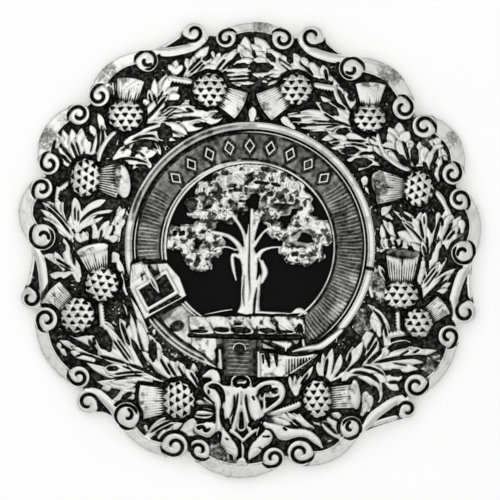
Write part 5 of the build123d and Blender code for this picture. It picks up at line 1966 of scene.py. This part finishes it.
    def build(self, relief: Relief, columns: int, rows: int) -> Weave:
        """Weave the ring's closed mesh.

        Args:
            relief: The carved and rubbed relief.
            columns: How many columns go round.
            rows: How many rows its face has.

        Returns:
            The mesh, not yet made.
        """
        rays = np.exp(1j * np.arange(columns) * FULL_TURN / columns)[None, :]
        far = np.arange(70.0, relief.reach + 2, 0.25)[:, None]
        covers = np.max([within(far * rays, corners) for corners in self.outgrowths], axis=0) > 0
        inner = np.minimum(self.inner, np.min(np.where(covers, far, relief.reach), axis=0))
        outer = np.maximum(self.outer, np.max(np.where(covers, far, 0.0), axis=0))
        places = (inner + (outer - inner) * np.linspace(0.0, 1.0, rows)[:, None]) * rays
        flat = places * DOME.badge_square
        face = np.stack([flat.real, flat.imag, self.base + relief.sample(places, relief.height)], axis=-1)
        foot = np.minimum(self.base, DOME.rise(np.abs(flat[-1])) - 0.1)
        rings = [face[-1].copy(), face[-1].copy(), face[0].copy(), face[0].copy()]
        for ring, level, low in zip(rings, (0.5, 0.0, 0.0, 0.5), (foot, foot, self.base, self.base)):
            ring[:, 2] = low + (ring[:, 2] - low) * level
        every = np.concatenate([face, np.stack(rings)])
        dark = np.concatenate([relief.sample(places, relief.black), np.full((len(rings), columns), 0.7)])
        return Weave("strap_ring", every, dark, np.full(dark.shape, 0.35))


class Clump(NamedTuple):
    """A round of foliage.

    Attributes:
        column: Column of its middle.
        row: The middle's row.
        radius: Its radius in squares.
    """

    column: float
    row: float
    radius: float


FOLIAGE = table(Clump, (
    (173, 238, 12), (187, 235, 11), (201, 231, 10), (197, 208, 11), (206, 191, 10), (213, 212, 12),
    (226, 184, 13), (226, 208, 10), (234, 172, 11), (247, 168, 12), (261, 172, 12), (275, 179, 12),
    (287, 188, 11), (241, 188, 12), (270, 194, 10), (297, 198, 11), (268, 214, 11), (284, 208, 8),
    (303, 222, 11), (324, 233, 12), (276, 230, 9), (200, 260, 11), (190, 254, 8), (216, 244, 9),
    (288, 250, 9), (301, 253, 11), (314, 252, 9), (292, 234, 8), (208, 222, 9), (306, 208, 7),
    (232, 167, 7), (246, 166, 7), (219, 180, 8), (257, 168, 6), (320, 228, 8), (327, 235, 5), (169, 237, 7),
    (279, 173, 8), (296, 188, 9), (304, 200, 8), (303, 214, 6), (262, 186, 9), (252, 186, 8), (191, 204, 6),
    (216, 203, 8), (231, 197, 8), (229, 216, 8), (243, 208, 6), (268, 204, 9), (256, 216, 6), (281, 198, 8),
    (312, 226, 9), (295, 226, 7), (283, 234, 6), (210, 238, 8), (180, 243, 6), (189, 247, 6), (206, 252, 8),
    (194, 262, 7), (207, 266, 5), (217, 252, 5), (292, 256, 8), (306, 258, 8), (319, 255, 6), (172, 231, 6),
))

GAPS = table(Oval, (
    (252, 198, 6, 9, 0), (263, 203, 3.4, 8, -15), (250, 178, 3.2, 5, 0), (217, 191, 5, 6, 0),
    (204, 198, 4, 5.5, 0), (234, 205, 7, 2.6, -35), (214, 224, 8, 5, -5), (226, 226, 9, 6, -10),
    (238, 231, 6, 5, -30), (222, 243, 11, 4, 8), (202, 246, 8, 2.6, 0), (268, 170, 7, 2.8, -10),
    (257, 232, 3.6, 10, -12), (266, 240, 5, 5, 0), (258, 247, 3, 9, -12), (286, 207, 14, 3.6, -5),
    (287, 217, 5.5, 8, -30), (303, 235, 12, 5, 0), (303, 243, 15, 4.6, 0), (274, 221, 8, 2.2, 5),
    (193, 221, 6, 4.5, 10), (183, 223, 6, 2.6, 20), (187, 262, 3, 3.6, 0), (197, 262, 2.4, 6, -25),
    (210, 259, 4, 2.2, 0), (282, 196, 3.2, 2.6, 0), (297, 203, 2.4, 4, 0), (233, 186, 4, 2.2, 0),
    (262, 183, 7, 1.7, -5), (276, 185, 5, 1.8, -10), (212, 176, 9, 2.2, 15), (194, 209, 2.4, 5, -30),
    (208, 207, 5, 1.8, 20), (175, 233, 2, 3, 0), (182, 233, 3, 2, 20), (298, 226, 3, 1.8, 0),
    (311, 232, 5, 1.8, -20), (295, 254, 4, 2, 0), (313, 254, 4, 2.4, -20), (240, 217, 6, 2, -35),
    (225, 173, 5, 2, 10), (237, 190, 5, 1.6, 0), (270, 194, 4, 2.4, 10), (286, 191, 3, 2.4, -30),
    (203, 232, 4, 1.8, 20), (190, 237, 2.4, 2, 0), (305, 203, 2, 3, 0), (246, 190, 1.6, 3, 0),
    (286, 240, 3, 3.4, 0), (222, 254, 6, 2, 0),
))


@dataclass
class Tree:
    """Tree on its twisted torse, over the black ground.

    Attributes:
        base: Height of the ground's face, in millimetres.
        wood_height: Height of the trunk and boughs over it.
        clump_height: Height of a clump of foliage.
        torse_height: Height of the torse.
        top: Greatest height of all of it.
        sink: How far the piece goes into the ground.
        wood: Trunk, boughs and twigs, as bands of changing width.
        grain: Grooves in the trunk.
        turns: Where the torse's turns begin and end, in squares.
        slits: Ovals cut into the torse.
        torse_middle: Column and row of the torse's middle.
        torse_half: Half of its length, in squares.
        opening: Radius of the ring's opening, in squares.
        spacing: Spacing of the mesh, in squares.
        reaches: How far the mesh goes to the left, right, down and up.
        least: Height from which the piece has a body, in millimetres.
    """

    base: float = 8.45
    wood_height: float = 1.5
    clump_height: float = 1.5
    torse_height: float = 2.3
    top: float = 2.8
    sink: float = 0.12
    wood: tuple = (
        ((249, 316, 30), (250, 305, 21), (251, 285, 21), (250, 262, 19), (249, 244, 10), (251, 228, 7),
         (252, 210, 5)),
        ((244, 262, 9), (239, 246, 7), (228, 236, 6), (212, 232, 5), (203, 229, 3)),
        ((247, 250, 6), (243, 232, 5), (234, 217, 5), (226, 209, 4)),
        ((252, 240, 6), (257, 224, 5), (262, 212, 4)),
        ((256, 262, 8), (261, 252, 6), (270, 248, 4), (280, 247, 3)),
        ((254, 246, 5), (264, 232, 4), (272, 229, 4), (279, 240, 3)),
        ((242, 258, 6), (233, 255, 5), (233, 266, 5.5), (236, 280, 3)),
        ((262, 262, 6), (265, 272, 8), (262, 282, 5)), ((236, 250, 3), (226, 247, 3), (214, 250, 2)),
        ((198, 316, 2.6), (212, 313, 2.6), (222, 311, 3), (232, 309.5, 2.4)),
        ((252, 312, 5), (268, 313, 5), (286, 314, 5), (304, 316, 5)),
        ((292, 314, 5), (299, 311, 9), (306, 313, 5)),
    )
    grain: tuple = (
        ((249, 205, 1), (249.5, 240, 1.4), (249, 270, 1.6), (250, 290, 1.2), (249, 300, 0.8)),
        ((257, 288, 1), (255, 300, 2.4), (254, 313, 1.8)),
        ((244, 276, 0.8), (243, 294, 1.3), (244, 306, 0.8)),
        ((240, 262, 1), (240.5, 274, 2.2), (238, 280, 1.4)),
        ((258, 258, 1), (259, 270, 2.6), (257, 279, 1.2)),
    )
    turns: tuple = (-58.5, -36.0, -16.0, 4.0, 30.0, 46.0, 59.5)
    slits: tuple = table(Oval, (
        (199.5, 331, 8, 1.5, 0), (222, 329.5, 7, 2.2, -4), (241, 330, 9.5, 2.8, -4),
        (267, 330.5, 7.5, 2.2, -4), (286, 331.5, 7.5, 1.1, 0), (238, 324, 3, 1, 0), (202, 328, 3, 1, 0),
        (300, 329, 2.6, 5, 10),
    ))
    torse_middle: tuple[float, float] = (247.0, 325.0)
    torse_half: float = 59.0
    opening: float = 83.0
    spacing: float = 0.67
    reaches: tuple[float, float, float, float] = (-94.0, 94.0, -92.0, 94.0)
    least: float = 0.02

    def carve(self, relief: Relief, rng: np.random.Generator) -> None:
        """Lay the foliage, the wood and the torse, and cut the gaps."""
        for row in FOLIAGE:
            part, places = relief.window(spot(row.column, row.row), row.radius + 4)
            local = places - spot(row.column, row.row)
            gap = np.abs(local) * (1 + 0.06 * np.cos(5 * np.angle(local) + row.column))
            relief.lay(part, self.clump_height * hump(gap, row.radius + 1.0) ** 0.35)
        shape = relief.height.shape
        leafy = relief.height > 0.5
        relief.height = np.where(leafy, np.maximum(blur(relief.height, 5), 1.0), relief.height)
        curl = 1 - 2.8 * np.abs(speckle(shape, 17, rng) + 0.35 * speckle(shape, 8, rng))
        lumps = 0.28 * smooth(curl, -0.8, 1.0) + 0.30 * speckle(shape, 24, rng)
        relief.height += np.where(leafy, lumps, 0.0)
        dusk = speckle(shape, 16, rng) + 0.5 * speckle(shape, 6, rng) - 0.3 * smooth(curl, -0.2, 1.0)
        relief.soot_and_shade += np.where(leafy, 0.60 * smooth(dusk, -0.02, 0.42), 0.0)
        for row in GAPS:
            part, places = relief.window(row.middle, max(row.wide, row.high) + 3)
            ragged = row.spread(places) * (1 + 0.14 * np.cos(4 * np.angle(places - row.middle) + row.column))
            ragged += 0.22 * dusk[part]
            share = smooth(1.15 - ragged, 0.0, 0.45) * leafy[part]
            relief.cover(part, 1.2, share)
            relief.soot_and_shade[part] = relief.soot_and_shade[part] * (1 - share) + (0.44 + 0.12 * dusk[part]) * share
        for row in self.wood:
            relief.band(row, self.wood_height, 0.4)
        for row in self.grain:
            relief.band(row, 0.7, cut=True)
        relief.height *= (np.abs(relief.places) < self.opening) | (relief.places.imag < -60)
        self.torse(relief, rng)
        relief.height = np.minimum(relief.height, self.top)

    def torse(self, relief: Relief, rng: np.random.Generator) -> None:
        """Lay the twisted bar, six turns between slanting grooves, with a slit low in each."""
        centre = spot(*self.torse_middle)
        part, places = relief.window(centre, self.torse_half + 3)
        local = places - centre
        place = np.interp(local.real + local.imag * 0.5, self.turns, np.arange(len(self.turns)))
        across = (place % 1.0 - 0.5) * 2
        back = hump(across, 1.03)
        gap = np.minimum(self.torse_half - np.abs(local.real), 8.7 + 1.5 * back - np.abs(local.imag))
        rise = self.torse_height * (0.55 + 0.45 * back**0.4 * hump(local.imag - 1.0, 12.0) ** 0.5)
        slit = smooth(1.3 - np.min([row.spread(places) for row in self.slits], axis=0), 0.0, 0.5)
        rise -= 0.75 * slit
        scratch = smooth(np.cos((local.real * 0.9 + local.imag * 1.6) * 0.9), 0.75, 1.0)
        scratch = scratch * smooth(local.real, 2.0, 8.0)
        rise -= 0.45 * scratch * smooth(2.0 - local.imag, 0.0, 5.0)
        relief.cover(part, rise * smooth(gap, -0.2, 1.2), smooth(gap, -1.0, 0.2))
        shape = relief.height.shape
        cloud = speckle(shape, 16, rng)[part] + 0.6 * speckle(shape, 7, rng)[part]
        seam = smooth(np.abs(across), 0.84, 0.97) * smooth(6.0 - local.imag, 0.0, 5.0)
        stain = (0.30 + 0.56 * smooth(local.real, -45.0, 10.0)) * smooth(cloud, -0.35, 0.85)
        relief.soot_and_shade[part] = np.where(gap > -1, stain + 0.45 * seam + 0.40 * slit, relief.soot_and_shade[part])

    def build(self, relief: Relief, middle: Vector, finish: bpy.types.Material) -> bpy.types.Object:
        """Make the tree's closed mesh where the relief stands over the ground.

        Args:
            relief: The carved and rubbed relief.
            middle: The ring's axis, in metres.
            finish: The material.

        Returns:
            The piece.
        """
        left, right, low, high = self.reaches
        across, up = np.arange(left, right, self.spacing), np.arange(low, high, self.spacing)
        places = across[None, :] + 1j * up[:, None]
        height = relief.sample(places, relief.height)
        raised = height > self.least
        keep = raised[:-1, :-1] | raised[1:, :-1] | raised[:-1, 1:] | raised[1:, 1:]
        count = places.size
        index = np.arange(count).reshape(places.shape)
        top = np.stack([index[:-1, :-1], index[:-1, 1:], index[1:, 1:], index[1:, :-1]], axis=-1)[keep]
        edges = np.concatenate([top[:, [k, (k + 1) % 4]] for k in range(4)])
        once = ~np.isin(edges[:, 0] * count + edges[:, 1], edges[:, 1] * count + edges[:, 0])
        start, end = edges[once].T
        walls = np.stack([end, start, start + count, end + count], axis=-1)
        quads = np.concatenate([top, top[:, ::-1] + count, walls])
        flat = (places * DOME.badge_square).reshape(-1)
        ground = self.base - self.sink
        level = ground + height.reshape(-1) + np.where(raised.reshape(-1), self.sink * 0.6, 0.0)
        corners = np.concatenate([
            np.stack([flat.real, flat.imag, level], axis=-1),
            np.stack([flat.real, flat.imag, np.full(flat.shape, ground - self.least)], axis=-1),
        ])
        used, compact = np.unique(quads, return_inverse=True)
        dark = np.concatenate([relief.sample(places, relief.black).reshape(-1), np.ones(count)])[used]
        grey = np.full(dark.shape, 0.6)
        faces = compact.reshape(-1, 4)
        return solid("tree_on_torse", corners[used], faces, [], dark, grey, middle, finish)


# Brooch and studio


class Stain(NamedTuple):
    """A patch of grey tarnish.

    Attributes:
        column: Column of its middle.
        row: The middle's row.
        radius: Its radius in squares.
        strength: How strong it is.
    """

    column: float
    row: float
    radius: float
    strength: float


STAINS = table(Stain, (
    (105, 72, 16, 1.0), (46, 137, 16, 1.0), (262, 28, 14, 1.0), (392, 72, 18, 1.0), (455, 140, 14, 0.9),
    (30, 210, 16, 0.6), (55, 355, 18, 0.6), (160, 445, 16, 0.6), (230, 468, 22, 0.7), (340, 440, 18, 0.7),
    (120, 183, 10, 0.7), (380, 185, 14, 1.0), (240, 112, 12, 0.8), (474, 250, 16, 0.4), (400, 404, 14, 0.6),
    (219, 452, 9, 1.3), (377, 284, 10, 1.1), (363, 320, 10, 1.1), (432, 365, 8, 1.2), (66, 122, 10, 0.9),
    (100, 76, 12, 0.8), (196, 352, 10, 0.9), (124, 222, 8, 0.8),
))


@dataclass
class Brooch:
    """The whole brooch.

    Attributes:
        seed: Start of the random draws.
        columns: Columns of the plate's meshes.
        rim_rows: Rows of the rim's mesh.
        wreath_rows: Rows of the wreath's meshes.
        ring_mesh: Columns and rows of the strap ring's mesh.
        ring_top: Greatest height of the strap ring over its underside, in millimetres.
        badge_step: Spacing of the badge's reliefs, in squares.
    """

    seed: int = 7
    columns: int = 1998
    rim_rows: int = 40
    wreath_rows: int = 112
    ring_mesh: tuple[int, int] = (1200, 66)
    ring_top: float = 3.2
    badge_step: float = 0.32

    def build(self) -> None:
        """Build and dress every piece, and say what each stands for."""
        rng = np.random.default_rng(self.seed)
        low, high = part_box("crest_badge")
        middle = Vector(((low[0] + high[0]) / 2, (low[1] + high[1]) / 2, 0.0))
        self.plate(rng, middle)
        self.crest(rng, middle)
        for node, finish in (("ground_disc", BlackEnamel()), ("pin_clasp", PlainSteel())):
            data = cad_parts[node].data
            data.materials.clear()
            data.materials.append(finish.material())
            log.info("%s keeps its solid, finished in %s", node, finish.name)

    def plate(self, rng: np.random.Generator, middle: Vector) -> None:
        """Build the rim, the wreath and the body under them, on one relief."""
        silver = AntiqueSilver("antique_silver").material()
        relief = Relief(reach=242.0)
        Wreath().carve(relief, rng)
        Foot().carve(relief)
        Rim().carve(relief)
        relief.height = blur(relief.height, 1, 1)
        relief.height += 0.02 * speckle(relief.height.shape, 9, rng)
        relief.rub(3.0, 0.14, 0.62, 0.40)
        self.tarnish(relief)
        weaves = [Rim().build(relief, self.columns, self.rim_rows)]
        weaves += Wreath().build(relief, Rim(), self.columns, self.wreath_rows)
        for weave in weaves + [PlateBody().build()]:
            self.settle(weave.build(middle, silver), "wreath_plate")

    def crest(self, rng: np.random.Generator, middle: Vector) -> None:
        """Build the strap ring, then the tree on its torse, each on a relief of its own."""
        badge = AntiqueSilver("badge_silver", grain_depth_mm=0.012).material()
        relief = Relief(reach=138.0, step=self.badge_step)
        StrapRing().carve(relief, rng)
        relief.height = np.minimum(relief.height, self.ring_top)
        relief.rub(2.6, 0.20, 0.65)
        ring = StrapRing().build(relief, *self.ring_mesh)
        self.settle(ring.build(middle, badge), "crest_badge")
        relief = Relief(reach=96.0, step=self.badge_step)
        Tree().carve(relief, rng)
        relief.height = blur(relief.height, 1, 1)
        relief.rub(2.6, 0.20, 0.75)
        tree = Tree().build(relief, middle, badge)
        self.settle(tree, "crest_badge")

    def tarnish(self, relief: Relief) -> None:
        """Spread grey tarnish over the paper, with stains in it."""
        relief.grey += 0.25
        for row in STAINS:
            part, places = relief.window(spot(row.column, row.row), row.radius * 2)
            gap = np.abs(places - spot(row.column, row.row)) / row.radius
            relief.grey[part] = np.maximum(relief.grey[part], row.strength * smooth(1.5 - gap, 0.0, 1.0))

    def settle(self, piece: bpy.types.Object, node: str) -> None:
        """Let a piece ride on the one body, hide the solid that it stands for, and say so."""
        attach(piece, BODY)
        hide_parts(node)
        log.info("%s: %d faces, stands for %s", piece.name, len(piece.data.polygons), node)


@dataclass
class Studio:
    """Camera, soft lights and floor.

    Attributes:
        frame_mm: Width of what the camera sees at the brooch.
        lens_mm: Focal length, long for a flat view.
        look_at: Middle of the photograph's frame, in millimetres.
        level_mm: Height at which the frame has its width.
        zenith: Brightness of the surroundings overhead.
        horizon: Brightness of the surroundings at the horizon.
        softbox_place: Where the softbox stands, in metres.
        softbox_size: Its side, in metres.
        softbox_power: Its power in watts.
        floor_half: Half of the floor's side, in metres.
    """

    frame_mm: float = 100.0
    lens_mm: float = 400.0
    look_at: tuple[float, float] = (0.0, 0.07)
    level_mm: float = 3.0
    zenith: float = 1.11
    horizon: float = 0.45
    softbox_place: tuple[float, float, float] = (-0.45, 0.45, 0.60)
    softbox_size: float = 0.60
    softbox_power: float = 0.60
    floor_half: float = 1.5

    def camera(self) -> None:
        """Set the camera straight above the brooch."""
        data = bpy.data.cameras.new("camera")
        data.lens = self.lens_mm
        data.sensor_width = 36.0
        data.clip_end = 10.0
        camera = bpy.data.objects.new("camera", data)
        distance = self.frame_mm * self.lens_mm / data.sensor_width
        camera.location = Vector((self.look_at[0], self.look_at[1], self.level_mm + distance)) * MM
        bpy.context.scene.collection.objects.link(camera)
        bpy.context.scene.camera = camera

    def light(self) -> None:
        """Add a soft square light that faces the brooch."""
        data = bpy.data.lights.new("left_softbox", "AREA")
        data.shape = "SQUARE"
        data.size = self.softbox_size
        data.energy = self.softbox_power
        lamp = bpy.data.objects.new("left_softbox", data)
        lamp.location = self.softbox_place
        lamp.rotation_euler = (Vector(self.softbox_place) * -1).to_track_quat("-Z", "Y").to_euler()
        bpy.context.scene.collection.objects.link(lamp)

    def dome(self) -> None:
        """Surround the scene with soft light, brighter overhead than at the horizon."""
        world = bpy.data.worlds.new("studio")
        world.use_nodes = True
        nodes, links = world.node_tree.nodes, world.node_tree.links
        split = nodes.new("ShaderNodeSeparateXYZ")
        span = nodes.new("ShaderNodeMapRange")
        span.interpolation_type = "SMOOTHSTEP"
        span.inputs["From Min"].default_value = 0.35
        span.inputs["From Max"].default_value = 0.95
        span.inputs["To Min"].default_value = self.horizon
        span.inputs["To Max"].default_value = self.zenith
        links.new(nodes.new("ShaderNodeTexCoord").outputs["Generated"], split.inputs["Vector"])
        links.new(split.outputs["Z"], span.inputs["Value"])
        links.new(span.outputs["Result"], nodes["Background"].inputs["Strength"])
        nodes["Background"].inputs["Color"].default_value = (1.0, 1.0, 1.0, 1.0)
        bpy.context.scene.world = world

    def build(self) -> None:
        """Set up the floor, the lights and the pale surroundings."""
        self.light()
        self.dome()
        bpy.context.scene.view_settings.view_transform = "Standard"
        mesh = bpy.data.meshes.new("floor")
        half = self.floor_half
        corners = [(-half, -half, 0), (half, -half, 0), (half, half, 0), (-half, half, 0)]
        mesh.from_pydata(corners, [], [(0, 1, 2, 3)])
        mesh.materials.append(PaleFloor().material())
        floor = bpy.data.objects.new("floor", mesh)
        bpy.context.scene.collection.objects.link(floor)


def main() -> None:
    """Build the studio and the brooch."""
    logging.basicConfig(level=logging.INFO, format="%(message)s")
    studio = Studio()
    studio.camera()
    Brooch().build()
    studio.build()
    bpy.context.view_layer.update()


def plain(box: object) -> list:
    """A box as plain lists of numbers."""
    return [[float(value) for value in corner] for corner in box]


if __name__ == "__main__":
    main()
